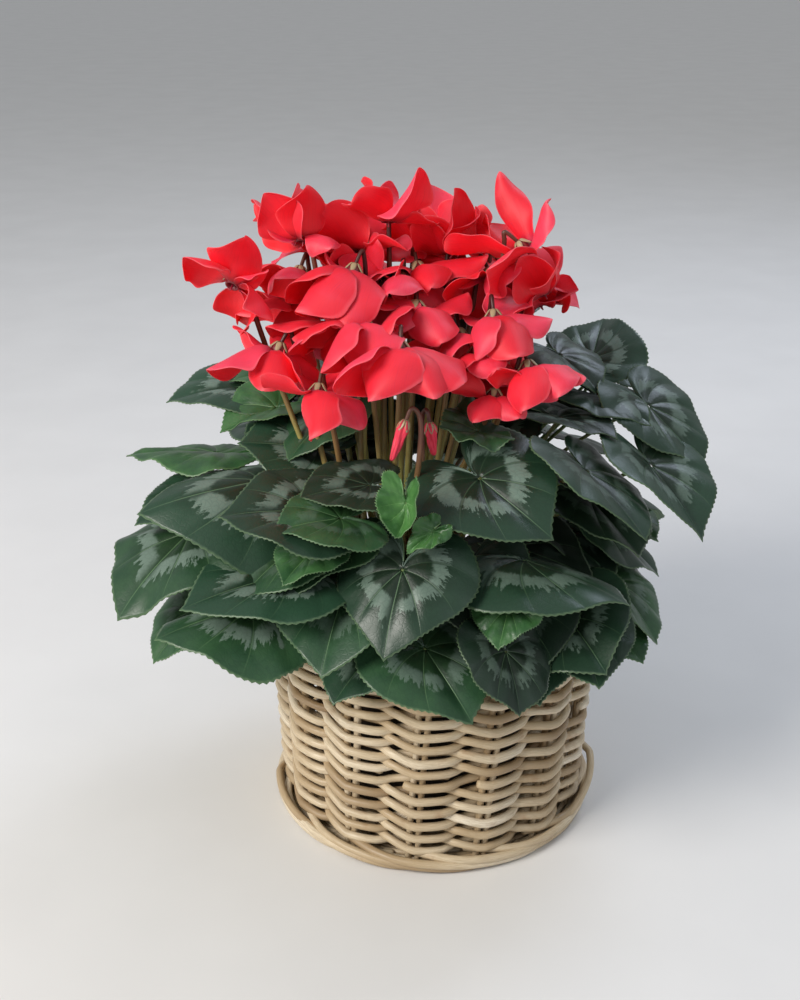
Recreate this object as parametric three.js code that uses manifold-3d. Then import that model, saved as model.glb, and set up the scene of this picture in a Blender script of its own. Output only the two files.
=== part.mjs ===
// Potted cyclamen standing in a round cane basket.
// Millimetres, +Z up.  The origin is the middle of the basket's underside, and -Y is its front.
// Angles are in degrees.  A heading of 0 points to the front (-Y) and 90 to the right (+X).
import * as THREE from 'three';
import { mergeVertices } from 'three/addons/utils/BufferGeometryUtils.js';
import Module from 'manifold-3d';

const wasm = await Module();
wasm.setup();

// ---- driving dimensions -------------------------------------------------------------------------

const GAP = 0.3; // daylight between pieces that touch

// The basket: base disc, border round the foot, woven wall and border round the rim.
const STAKE_PAIRS = 14;
const BASKET_HEIGHT = 160;
const WALL_THICKNESS = 12; // two weavers and the stakes between them
const WALL_RADIUS_BOTTOM = 110;
const WALL_RADIUS_TOP = 116;
const BORDER_HEIGHT = 11;
const BORDER_WIDTH = 16;
const BORDER_ROUNDING = 3;
const FOOT_RADIUS = 117;
const RIM_RADIUS = 119;
const BASE_THICKNESS = 6;

// The plastic pot inside it.
const POT_HEIGHT = 142;
const POT_RADIUS_BOTTOM = 68;
const POT_RADIUS_TOP = 94;
const POT_WALL = 1.6;
const POT_LIP_HEIGHT = 10;
const POT_LIP = 2;
const SOIL_LEVEL = 143;

// The tuber: its crown is part of a ball, and every stalk leaves it square to that ball.
const CROWN = new THREE.Vector3(-28, 0, 124); // middle of the ball
const CROWN_RADIUS = 38;
const CROWN_EDGE = 60; // from the vertical
const TUBER_SIDE = 14; // from its bottom up to its widest place
const TUBER_BOTTOM = 118;
const RINGS = [6, 17, 27, 37, 47]; // where the stalks stand on the crown, from the vertical

// Leaves: a stalk that carries a heart-shaped blade.
const LEAF_STALK_RADIUS = 1.5;
const STALK_START = 0.42; // share of the way over which a stalk keeps its first direction
const STALK_END = 0.3; // and its last one
const BLADE_THICKNESS = 0.9;
const BLADE_FOLD = 0.1; // rise of both halves off the midrib, by distance from it
const BLADE_ARCH = 0.04; // rise of the midrib between stalk and tip, in blade lengths
// The blade's edge round the end of its stalk: angle from the midrib, and distance in blade lengths.
const HEART = [[0, 1], [18, 0.87], [48, 0.8], [82, 0.78], [116, 0.73], [146, 0.57], [171, 0.17]];

// Flowers: a stalk that hooks over and carries five petals, turned back from the throat.
const FLOWER_STALK_RADIUS = 1.7;
const STALK_FOOT = 30; // straight part above the crown
const HOOK_REACH = 12; // from the throat's middle back to the stalk
const HOOK_HEIGHT = 19; // from the throat to the top of the hook
const PETALS = 5;
const PETAL_LENGTH = 36;
const PETAL_WIDTH = 0.75; // of its length
const PETAL_THICKNESS = 0.8;
const PETAL_HOLLOW = 0.05; // depth of its middle, in petal widths
const PETAL_TWIST = 35; // from its foot to its tip
const THROAT_RADIUS = 5;
const CUP_HEIGHT = 8;
const SPENT_RADIUS = 2.8; // of a spent flower's closed petals
// A petal's outline: how far along it, and half of its width there in petal widths.
const PETAL_OUTLINE = [[0, 0.07], [0.55, 0.46], [1, 0.3]];

// ---- shared geometry ----------------------------------------------------------------------------

const radians = THREE.MathUtils.degToRad;
const UP = new THREE.Vector3(0, 0, 1);

function finish(color, roughness) {
  return new THREE.MeshStandardMaterial({ color, roughness, metalness: 0 });
}

// Level direction of a heading.
function level(heading) {
  return new THREE.Vector3(Math.sin(radians(heading)), -Math.cos(radians(heading)), 0);
}

// Welds a closed geometry and turns its faces outward.
function solid(geometry) {
  geometry.deleteAttribute('normal');
  geometry.deleteAttribute('uv');
  const welded = mergeVertices(geometry, 1e-4);
  const points = welded.attributes.position.array;
  const faces = [];
  const corner = [new THREE.Vector3(), new THREE.Vector3(), new THREE.Vector3()];
  let volume = 0;
  for (let i = 0; i < welded.index.count; i += 3) {
    const [a, b, c] = welded.index.array.slice(i, i + 3);
    if (a === b || b === c || c === a) continue;
    [a, b, c].forEach((index, k) => corner[k].fromArray(points, 3 * index));
    volume += corner[0].dot(corner[1].clone().cross(corner[2]));
    faces.push(a, b, c);
  }
  if (volume < 0) faces.reverse();
  const triVerts = new Uint32Array(faces);
  return new wasm.Manifold(new wasm.Mesh({ numProp: 3, vertProperties: points, triVerts }));
}

function geometryOf(body) {
  const mesh = body.getMesh();
  const geometry = new THREE.BufferGeometry();
  geometry.setAttribute('position', new THREE.Float32BufferAttribute(mesh.vertProperties, 3));
  geometry.setIndex(Array.from(mesh.triVerts));
  return geometry;
}

// Turns a profile of [radius, height] points round the Z axis.
function turned(profile, segments, twist = 0) {
  const points = profile.map(([radius, height]) => new THREE.Vector2(radius, height));
  const geometry = new THREE.LatheGeometry(points, segments);
  return solid(geometry.rotateX(Math.PI / 2).rotateZ(twist));
}

function tube(curve, radius, sides, steps) {
  const section = new THREE.Shape();
  for (let k = 0; k < sides; k++) {
    const angle = (2 * Math.PI * k) / sides;
    const [x, y] = [radius * Math.cos(angle), radius * Math.sin(angle)];
    if (k === 0) section.moveTo(x, y);
    else section.lineTo(x, y);
  }
  section.closePath();
  return solid(new THREE.ExtrudeGeometry(section, { steps, extrudePath: curve, curveSegments: 1 }));
}

// A thin sheet with one upper and one lower skin, from a grid or fan of points and its faces.
function sheet(points, faces, edge, normals, thickness) {
  const count = points.length;
  const positions = [];
  for (const side of [0.5, -0.5]) {
    points.forEach((point, k) => {
      positions.push(...point.clone().addScaledVector(normals[k], side * thickness).toArray());
    });
  }
  const index = [];
  for (const [a, b, c] of faces) index.push(a, b, c, a + count, c + count, b + count);
  edge.forEach((a, k) => {
    const b = edge[(k + 1) % edge.length];
    index.push(b, a, a + count, b, a + count, b + count);
  });
  const geometry = new THREE.BufferGeometry();
  geometry.setAttribute('position', new THREE.Float32BufferAttribute(positions, 3));
  geometry.setIndex(index);
  return solid(geometry);
}

// Place on the crown, and the direction in which a stalk leaves it there.
function crownSeat(heading, ring) {
  const lean = radians(RINGS[ring - 1]);
  const direction = level(heading).multiplyScalar(Math.sin(lean)).addScaledVector(UP, Math.cos(lean));
  const place = CROWN.clone().addScaledVector(direction, CROWN_RADIUS + GAP);
  return { place, direction };
}

// ---- basket, pot, soil and tuber ------------------------------------------------------------------

const BASKET_SEGMENTS = 2 * STAKE_PAIRS;
const FIRST_PAIR = radians(-3.7); // the pair beside the middle of the front
const wallBottom = BORDER_HEIGHT + GAP;
const wallTop = BASKET_HEIGHT - BORDER_HEIGHT - GAP;

// A border's section: upright inside and rounded outside.
function border(bottom, outerRadius) {
  const inner = outerRadius - BORDER_WIDTH;
  const top = bottom + BORDER_HEIGHT;
  return turned([
    [inner, bottom],
    [outerRadius - BORDER_ROUNDING, bottom],
    [outerRadius, bottom + BORDER_ROUNDING],
    [outerRadius, top - BORDER_ROUNDING],
    [outerRadius - BORDER_ROUNDING, top],
    [inner, top],
    [inner, bottom],
  ], BASKET_SEGMENTS, FIRST_PAIR);
}

const basketFoot = border(0, FOOT_RADIUS);

const baseRadius = FOOT_RADIUS - BORDER_WIDTH - GAP;
const basketBase = turned([
  [0, 0],
  [baseRadius, 0],
  [baseRadius, BASE_THICKNESS],
  [0, BASE_THICKNESS],
], BASKET_SEGMENTS, FIRST_PAIR);

const basketWall = turned([
  [WALL_RADIUS_BOTTOM - WALL_THICKNESS, wallBottom],
  [WALL_RADIUS_BOTTOM, wallBottom],
  [WALL_RADIUS_TOP, wallTop],
  [WALL_RADIUS_TOP - WALL_THICKNESS, wallTop],
  [WALL_RADIUS_BOTTOM - WALL_THICKNESS, wallBottom],
], BASKET_SEGMENTS, FIRST_PAIR);

const basketRim = border(BASKET_HEIGHT - BORDER_HEIGHT, RIM_RADIUS);

const POT_SEGMENTS = 20;
const potBottom = BASE_THICKNESS + GAP;
const potTop = potBottom + POT_HEIGHT;

// The pot widens evenly from its bottom to its top.
function potRadius(height) {
  const share = (height - potBottom) / POT_HEIGHT;
  return THREE.MathUtils.lerp(POT_RADIUS_BOTTOM, POT_RADIUS_TOP, share);
}

const nurseryPot = turned([
  [0, potBottom],
  [POT_RADIUS_BOTTOM, potBottom],
  [potRadius(potTop - POT_LIP_HEIGHT), potTop - POT_LIP_HEIGHT],
  [POT_RADIUS_TOP + POT_LIP, potTop - POT_LIP_HEIGHT],
  [POT_RADIUS_TOP + POT_LIP, potTop],
  [POT_RADIUS_TOP - POT_WALL, potTop],
  [POT_RADIUS_BOTTOM - POT_WALL, potBottom + POT_WALL],
  [0, potBottom + POT_WALL],
], POT_SEGMENTS);

// The tuber's profile, grown by a margin: the ball of the crown, then round sides and a flat bottom.
function tuberBody(margin) {
  const profile = [];
  for (let lean = 0; lean <= CROWN_EDGE; lean += 12) {
    const radius = CROWN_RADIUS + margin;
    profile.push([radius * Math.sin(radians(lean)), radius * Math.cos(radians(lean))]);
  }
  const low = TUBER_BOTTOM - CROWN.z - margin;
  profile.push([0.86 * CROWN_RADIUS + margin, low + TUBER_SIDE], [0.6 * CROWN_RADIUS + margin, low]);
  profile.push([0, low]);
  return turned(profile, POT_SEGMENTS).translate(CROWN.toArray());
}

const soilBottom = potBottom + POT_WALL + GAP;
const soilMargin = POT_WALL + 2 * GAP;
const soilFill = turned([
  [0, soilBottom],
  [potRadius(soilBottom) - soilMargin, soilBottom],
  [potRadius(SOIL_LEVEL) - soilMargin, SOIL_LEVEL],
  [0, SOIL_LEVEL],
], POT_SEGMENTS);
const tuber = tuberBody(0);
const soil = soilFill.subtract(tuberBody(GAP));

// ---- leaves -----------------------------------------------------------------------------------------

// A blade in its own frame: the stalk ends at the origin, +X runs to the tip, +Z is the upper face.
// length: from the stalk's end to the tip.  width: narrows the blade where it is under 1.
function blade({ length, width = 1 }) {
  const around = [];
  HEART.forEach(([angle, reach]) => around.push([radians(angle), reach]));
  HEART.slice(1).reverse().forEach(([angle, reach]) => around.push([-radians(angle), reach]));
  const points = [new THREE.Vector3()];
  for (const share of [0.5, 1]) {
    for (const [angle, reach] of around) {
      const x = share * reach * length * Math.cos(angle);
      const y = share * reach * length * width * Math.sin(angle);
      const bow = 4 * BLADE_ARCH * x * (1 - Math.max(x, 0) / length);
      points.push(new THREE.Vector3(x, y, BLADE_FOLD * Math.abs(y) + bow));
    }
  }
  const n = around.length;
  const faces = [];
  const edge = [];
  for (let k = 0; k < n; k++) {
    const [a, b] = [1 + k, 1 + ((k + 1) % n)];
    faces.push([0, a, b], [a, a + n, b + n], [a, b + n, b]);
    edge.push(a + n);
  }
  return sheet(points, faces, edge, points.map(() => UP), BLADE_THICKNESS);
}

// at: end of the stalk.  aim, dip and roll: heading of the tip, its fall below level, and the left
// edge's rise.  ring: where the stalk stands on the crown; turn moves its foot round the crown.
function leaf({ at, aim, dip, roll = 0, ring, turn = 0, ...shape }) {
  const frame = new THREE.Matrix4().makeRotationZ(radians(aim - 90));
  frame.multiply(new THREE.Matrix4().makeRotationY(radians(dip)));
  frame.multiply(new THREE.Matrix4().makeRotationX(radians(roll)));
  const along = new THREE.Vector3();
  const side = new THREE.Vector3();
  const normal = new THREE.Vector3();
  frame.extractBasis(along, side, normal);
  const end = new THREE.Vector3(...at);
  frame.setPosition(end);
  const out = end.clone().sub(CROWN);
  const heading = THREE.MathUtils.radToDeg(Math.atan2(out.x, -out.y));
  const seat = crownSeat(heading + turn, ring);
  const span = seat.place.distanceTo(end);
  const arrival = normal.clone().multiplyScalar(0.8).addScaledVector(along, 0.35).normalize();
  const stalk = new THREE.CubicBezierCurve3(
    seat.place,
    seat.place.clone().addScaledVector(seat.direction, STALK_START * span),
    end.clone().addScaledVector(arrival, -STALK_END * span),
    end,
  );
  const body = blade(shape).transform(frame.elements);
  return body.add(tube(stalk, LEAF_STALK_RADIUS, 5, 5));
}

const LEAVES = [
  { at: [-22, -114, 224], aim: -18, dip: 42, roll: 0, length: 56, ring: 5, turn: -2 },
  { at: [25, -73, 266], aim: 50, dip: 28, roll: 18, length: 61, ring: 3, turn: -4 },
  { at: [-124, -40, 255], aim: -76, dip: 3, roll: -18, length: 81, width: 0.88, ring: 5, turn: 2 },
  { at: [-79, -84, 250], aim: -83, dip: 0, roll: -14, length: 56, ring: 5, turn: 4 },
  { at: [-154, 34, 248], aim: -91, dip: 6, roll: 5, length: 59, ring: 5, turn: 13 },
  { at: [-134, 74, 292], aim: -79, dip: 8, roll: -4, length: 60, ring: 2, turn: 10 },
  { at: [-83, 45, 274], aim: -66, dip: 18, roll: -2, length: 51, ring: 4, turn: -4 },
  { at: [-162, -35, 222], aim: -44, dip: 30, roll: 4, length: 71, ring: 5 },
  { at: [-99, -83, 211], aim: -65, dip: 8, roll: -2, length: 68, ring: 5, turn: 21 },
  { at: [-121, -83, 188], aim: -63, dip: 9, roll: -6, length: 63, ring: 5, turn: -4 },
  { at: [-160, -58, 173], aim: -48, dip: 39, roll: 8, length: 45, ring: 4, turn: 23 },
  { at: [-44, -69, 267], aim: -73, dip: 3, roll: -6, length: 46, ring: 4, turn: -8 },
  { at: [-60, -92, 253], aim: -67, dip: -2, roll: -12, length: 43, ring: 5, turn: 9 },
  { at: [-79, -97, 235], aim: -37, dip: 23, roll: 2, length: 31, ring: 5, turn: -10 },
  { at: [-9, -118, 178], aim: 33, dip: 30, roll: 4, length: 56, ring: 5 },
  { at: [41, -120, 177], aim: 16, dip: 41, roll: -20, length: 42, ring: 4 },
  { at: [58, -84, 227], aim: 63, dip: 9, roll: 0, length: 72, ring: 3, turn: -3 },
  { at: [42, -112, 209], aim: -15, dip: 40, roll: 17, length: 32, ring: 5, turn: 13 },
  { at: [88, -74, 179], aim: 26, dip: 10, roll: 29, length: 56, ring: 5, turn: 3 },
  { at: [124, -19, 174], aim: 40, dip: 39, roll: -20, length: 52, ring: 5, turn: -9 },
  { at: [116, 95, 299], aim: 160, dip: -22, roll: -7, length: 49, ring: 3, turn: 14 },
  { at: [133, 116, 290], aim: 124, dip: 17, roll: 20, length: 43, ring: 4, turn: -3 },
  { at: [84, 57, 311], aim: 44, dip: 26, roll: -5, length: 43, ring: 4, turn: -4 },
  { at: [108, 42, 288], aim: 52, dip: 16, roll: 0, length: 45, width: 0.88, ring: 3, turn: -12 },
  { at: [77, 14, 279], aim: 52, dip: 10, roll: -6, length: 46, width: 0.85, ring: 5 },
  { at: [156, 41, 286], aim: 48, dip: 36, roll: 1, length: 60, ring: 4, turn: 2 },
  { at: [144, -9, 254], aim: 36, dip: 29, roll: -11, length: 63, ring: 4 },
  { at: [102, -46, 266], aim: 42, dip: 32, roll: -21, length: 60, ring: 4, turn: 2 },
  { at: [-104, 103, 246], aim: -137, dip: 19, roll: 1, length: 66, ring: 4, turn: 22 },
  { at: [-47, 124, 266], aim: -158, dip: 25, roll: 1, length: 68, ring: 4 },
  { at: [25, 121, 261], aim: 170, dip: 22, roll: 0, length: 66, ring: 5, turn: 3 },
  { at: [87, 110, 235], aim: 136, dip: 27, roll: 2, length: 64, ring: 5, turn: 14 },
  { at: [-138, 76, 210], aim: -117, dip: 35, roll: 0, length: 64, ring: 5, turn: 2 },
  { at: [-10, 125, 200], aim: 180, dip: 45, roll: 0, length: 64, ring: 5 },
  { at: [128, 65, 212], aim: 115, dip: 40, roll: 0, length: 62, ring: 5 },
];

// ---- flowers ----------------------------------------------------------------------------------------

// One petal in the flower's frame, whose +Z runs from the throat up to the stalk.
// open: how far the petal leans out.  twist: how far its tip turns about its own length.
function petal(heading, { length, open, twist, width }) {
  const out = new THREE.Vector3(Math.cos(heading), Math.sin(heading), 0);
  const across = new THREE.Vector3(-Math.sin(heading), Math.cos(heading), 0);
  const rise = out.clone().multiplyScalar(Math.sin(open)).addScaledVector(UP, Math.cos(open));
  const points = [];
  const normals = [];
  for (const [share, half] of PETAL_OUTLINE) {
    const lip = Math.min(1, 2 * share);
    const middle = out.clone().multiplyScalar(THROAT_RADIUS * (0.7 + 0.9 * lip));
    middle.addScaledVector(rise, share * length).addScaledVector(UP, 1.5);
    const turn = twist * share;
    const facing = out.clone().multiplyScalar(Math.cos(open)).addScaledVector(UP, -Math.sin(open));
    const chord = across.clone().applyAxisAngle(rise, turn);
    const normal = facing.applyAxisAngle(rise, turn);
    for (const place of [-1, 0, 1]) {
      const point = middle.clone().addScaledVector(chord, place * half * width);
      points.push(point.addScaledVector(normal, place === 0 ? PETAL_HOLLOW * width : 0));
      normals.push(normal);
    }
  }
  const faces = [];
  for (let row = 0; row < PETAL_OUTLINE.length - 1; row++) {
    for (const column of [0, 1]) {
      const a = 3 * row + column;
      faces.push([a, a + 1, a + 4], [a, a + 4, a + 3]);
    }
  }
  const last = points.length - 1;
  const edge = [0, 1, 2, 5, last, last - 1, last - 2, 3];
  return sheet(points, faces, edge, normals, PETAL_THICKNESS);
}

// at: middle of the throat.  aim and nod: heading to which the throat looks, and how far from
// straight down.  open: how far the petals lean out, where over 90 they hang.  turn: the first
// petal's place round the throat.  size: a petal's length.  ring and foot: as a leaf's ring and turn.
function flower({ at, aim, nod, open, turn, size = PETAL_LENGTH, ring, foot }) {
  const throat = new THREE.Vector3(...at);
  const ahead = level(aim);
  const axis = ahead.clone().multiplyScalar(-Math.sin(radians(nod)));
  axis.addScaledVector(UP, Math.cos(radians(nod)));
  const frame = new THREE.Matrix4().makeRotationFromQuaternion(
    new THREE.Quaternion().setFromUnitVectors(UP, axis),
  ).setPosition(throat);
  let body = turned([
    [0, 0],
    [THROAT_RADIUS, 0],
    [FLOWER_STALK_RADIUS, CUP_HEIGHT],
    [0, CUP_HEIGHT],
  ], PETALS);
  for (let k = 0; k < PETALS; k++) {
    const heading = radians(turn + (360 * k) / PETALS);
    body = body.add(petal(heading, {
      length: size,
      open: radians(open),
      twist: radians(PETAL_TWIST),
      width: PETAL_WIDTH * size,
    }));
  }
  body = body.transform(frame.elements);
  const out = throat.clone().sub(CROWN);
  const heading = THREE.MathUtils.radToDeg(Math.atan2(out.x, -out.y));
  const seat = crownSeat(heading + foot, ring);
  const behind = ahead.clone().negate();
  const rise = throat.clone().sub(seat.place).normalize();
  const stalk = new THREE.CatmullRomCurve3([
    seat.place,
    seat.place.clone().addScaledVector(seat.direction, STALK_FOOT),
    throat.clone().addScaledVector(behind, HOOK_REACH).addScaledVector(rise, -32),
    throat.clone().addScaledVector(behind, HOOK_REACH).addScaledVector(axis, 9),
    throat.clone().addScaledVector(behind, 5).addScaledVector(axis, HOOK_HEIGHT),
    throat.clone().addScaledVector(axis, CUP_HEIGHT - 2),
  ]);
  return body.add(tube(stalk, FLOWER_STALK_RADIUS, 5, 9));
}

const FLOWERS = [
  { at: [-130, -19, 381], aim: -24, nod: 50, open: 69, turn: 26, ring: 3, foot: 5 },
  { at: [-87, 17, 401], aim: -13, nod: 29, open: 45, turn: 53, ring: 1, foot: 9 },
  { at: [-58, 48, 378], aim: 145, nod: 20, open: 43, turn: 36, ring: 2, foot: 6 },
  { at: [-32, 29, 411], aim: 0, nod: 20, open: 44, turn: 34, ring: 1, foot: 4 },
  { at: [14, 44, 388], aim: 26, nod: 23, open: 44, turn: -24, ring: 2, foot: 17 },
  { at: [57, 14, 396], aim: 80, nod: 42, open: 53, turn: 26, ring: 2, foot: -14 },
  { at: [71, 17, 366], aim: 67, nod: 29, open: 42, turn: 0, ring: 4, foot: -4 },
  { at: [-14, -12, 362], aim: 0, nod: 22, open: 102, turn: 21, ring: 1, foot: -1 },
  { at: [-55, 0, 383], aim: -42, nod: 20, open: 105, turn: 13, ring: 2, foot: 9 },
  { at: [-102, -30, 340], aim: -57, nod: 20, open: 110, turn: 1, ring: 3, foot: 6 },
  { at: [-80, -62, 322], aim: -14, nod: 25, open: 115, turn: 16, ring: 3, foot: -10 },
  { at: [-24, -55, 348], aim: 0, nod: 20, open: 118, turn: 40, size: 40, ring: 2, foot: -14 },
  { at: [34, -48, 315], aim: -16, nod: 22, open: 121, turn: 30, size: 30, ring: 2, foot: -14 },
  { at: [60, -45, 338], aim: 24, nod: 24, open: 107, turn: 50, size: 34, ring: 3, foot: 8 },
  { at: [35, -20, 358], aim: 8, nod: 22, open: 118, turn: 12, size: 34, ring: 2, foot: -8 },
  { at: [-48, -32, 358], aim: -11, nod: 16, open: 110, turn: 21, size: 34, ring: 1, foot: -5 },
];

// A spent flower: its petals have closed to a spindle that hangs from the hooked stalk.
// at: top of the spindle.  aim and lean: heading of its lower end, and how far it is off plumb.
// length: of the spindle.
function spentFlower({ at, aim, lean, length, ring, foot }) {
  const top = new THREE.Vector3(...at);
  const ahead = level(aim);
  const down = ahead.clone().multiplyScalar(Math.sin(radians(lean)));
  down.addScaledVector(UP, -Math.cos(radians(lean)));
  const frame = new THREE.Matrix4().makeRotationFromQuaternion(
    new THREE.Quaternion().setFromUnitVectors(UP, down),
  ).setPosition(top);
  const spindle = turned([
    [0, 0],
    [SPENT_RADIUS, 1.5],
    [SPENT_RADIUS, 0.6 * length],
    [SPENT_RADIUS * 0.4, length],
    [0, length],
  ], 6).transform(frame.elements);
  const out = top.clone().sub(CROWN);
  const heading = THREE.MathUtils.radToDeg(Math.atan2(out.x, -out.y));
  const seat = crownSeat(heading + foot, ring);
  const behind = ahead.clone().negate();
  const stalk = new THREE.CatmullRomCurve3([
    seat.place,
    seat.place.clone().addScaledVector(seat.direction, STALK_FOOT),
    top.clone().addScaledVector(behind, 9).addScaledVector(UP, -30),
    top.clone().addScaledVector(behind, 9).addScaledVector(UP, 2),
    top.clone().addScaledVector(behind, 4).addScaledVector(UP, 7),
    top.clone().addScaledVector(down, 1),
  ]);
  return spindle.add(tube(stalk, FLOWER_STALK_RADIUS, 5, 9));
}

const SPENT_FLOWERS = [
  { at: [-21, -79, 314], aim: -63, lean: 20, length: 26, ring: 4, foot: -10 },
  { at: [-6, -64, 307], aim: 30, lean: 11, length: 21, ring: 5, foot: 1 },
];

// ---- the whole plant in its basket ------------------------------------------------------------------

const cane = finish('#d9c39a', 0.6);
const potPlastic = finish('#3a3532', 0.5);
const peat = finish('#2f2620', 0.95);
const cork = finish('#5f4a38', 0.9);
const leafGreen = finish('#24452b', 0.4);
const scarlet = finish('#e5303a', 0.5);

const plant = new THREE.Group();

function addPiece(name, body, material) {
  const mesh = new THREE.Mesh(geometryOf(body), material.clone());
  mesh.name = name;
  plant.add(mesh);
}

function numbered(name, k) {
  return `${name}_${String(k + 1).padStart(2, '0')}`;
}

addPiece('basket_base', basketBase, cane);
addPiece('basket_foot', basketFoot, cane);
addPiece('basket_wall', basketWall, cane);
addPiece('basket_rim', basketRim, cane);
addPiece('nursery_pot', nurseryPot, potPlastic);
addPiece('soil', soil, peat);
addPiece('tuber', tuber, cork);
LEAVES.forEach((row, k) => addPiece(numbered('leaf', k), leaf(row), leafGreen));
FLOWERS.forEach((row, k) => addPiece(numbered('flower', k), flower(row), scarlet));
SPENT_FLOWERS.forEach((row, k) => addPiece(numbered('spent_flower', k), spentFlower(row), scarlet));

export default plant;
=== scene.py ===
import math
import random
from collections import namedtuple
from functools import partial

import bpy
import numpy as np
from mathutils import Matrix, Vector


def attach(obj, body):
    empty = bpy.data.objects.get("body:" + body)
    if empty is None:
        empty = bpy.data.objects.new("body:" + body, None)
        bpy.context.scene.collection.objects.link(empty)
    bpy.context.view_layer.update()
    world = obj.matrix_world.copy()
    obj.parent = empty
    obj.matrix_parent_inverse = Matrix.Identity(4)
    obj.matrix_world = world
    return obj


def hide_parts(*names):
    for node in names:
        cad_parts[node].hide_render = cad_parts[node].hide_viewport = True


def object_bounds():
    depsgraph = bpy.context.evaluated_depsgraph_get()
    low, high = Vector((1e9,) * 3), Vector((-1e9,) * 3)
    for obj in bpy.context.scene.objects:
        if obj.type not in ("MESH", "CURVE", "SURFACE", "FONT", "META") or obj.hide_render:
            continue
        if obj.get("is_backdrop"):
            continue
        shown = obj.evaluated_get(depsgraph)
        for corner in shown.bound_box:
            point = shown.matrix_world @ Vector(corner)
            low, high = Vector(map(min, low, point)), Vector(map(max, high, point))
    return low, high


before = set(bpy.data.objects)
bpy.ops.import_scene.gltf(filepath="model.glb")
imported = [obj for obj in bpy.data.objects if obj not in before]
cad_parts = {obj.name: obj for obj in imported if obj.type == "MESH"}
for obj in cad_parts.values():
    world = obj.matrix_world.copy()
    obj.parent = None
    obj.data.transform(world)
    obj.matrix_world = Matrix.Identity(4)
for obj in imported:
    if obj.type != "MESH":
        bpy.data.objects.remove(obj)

cad_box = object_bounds()

# ---- basket base ----------------------------------------------------------------
# A flat round of peeled cane: rods coiled and woven over crossing sticks.  It is made
# first and stands on the same plane as the foot border.

MM = 0.001
PAIRS = 14
PAIR_STEP = 360 / PAIRS
FIRST_PAIR = -7.0
BASE_RADIUS = 100
STICK_RADIUS, COIL_RADIUS = 1.9, 2.1
COIL_STEP = 4.4


def compass(heading, radius, height):
    """The point at that heading and radius round the basket's middle."""
    angle = np.radians(heading)
    place = radius * np.sin(angle), -radius * np.cos(angle), height
    return np.stack(np.broadcast_arrays(*place), -1)


def unit(vectors):
    return vectors / np.linalg.norm(vectors, axis=-1, keepdims=True)


class Skin:
    """The points, faces, UV corners and material numbers of one piece."""

    def __init__(self, *marks):
        self.points, self.faces, self.numbers, self.count = [], [], [], 0
        self.first_map, self.second_map = [], []
        self.marks = {mark: [] for mark in marks}

    def add(self, points, faces, first, second, number=0, **marks):
        """first and second hold a UV pair for every corner of every face, face by face."""
        self.points.append(np.asarray(points, float))
        self.faces += [[self.count + int(k) for k in face] for face in faces]
        self.numbers += list(number) if np.ndim(number) else [number] * len(faces)
        self.first_map.append(np.asarray(first, float))
        self.second_map.append(np.asarray(second, float))
        for mark, values in self.marks.items():
            values.append(np.full(len(points), float(marks.get(mark, 0))))
        self.count += len(points)

    def piece(self, name, materials, slot, node=None):
        mesh = bpy.data.meshes.new(name)
        mesh.from_pydata((np.concatenate(self.points) * MM).tolist(), [], self.faces)
        for title, pairs in (("first", self.first_map), ("second", self.second_map)):
            layer = mesh.uv_layers.new(name=title)
            layer.data.foreach_set("uv", np.concatenate(pairs).ravel())
        mesh.polygons.foreach_set("material_index", self.numbers)
        mesh.polygons.foreach_set("use_smooth", [True] * len(self.faces))
        for mark, values in self.marks.items():
            layer = mesh.attributes.new(mark, "FLOAT", "POINT")
            layer.data.foreach_set("value", np.concatenate(values))
        for material in materials:
            mesh.materials.append(material)
        mesh.update()
        made = bpy.data.objects.new(name, mesh)
        bpy.context.scene.collection.objects.link(made)
        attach(made, "root")
        if node:
            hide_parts(node)


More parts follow.
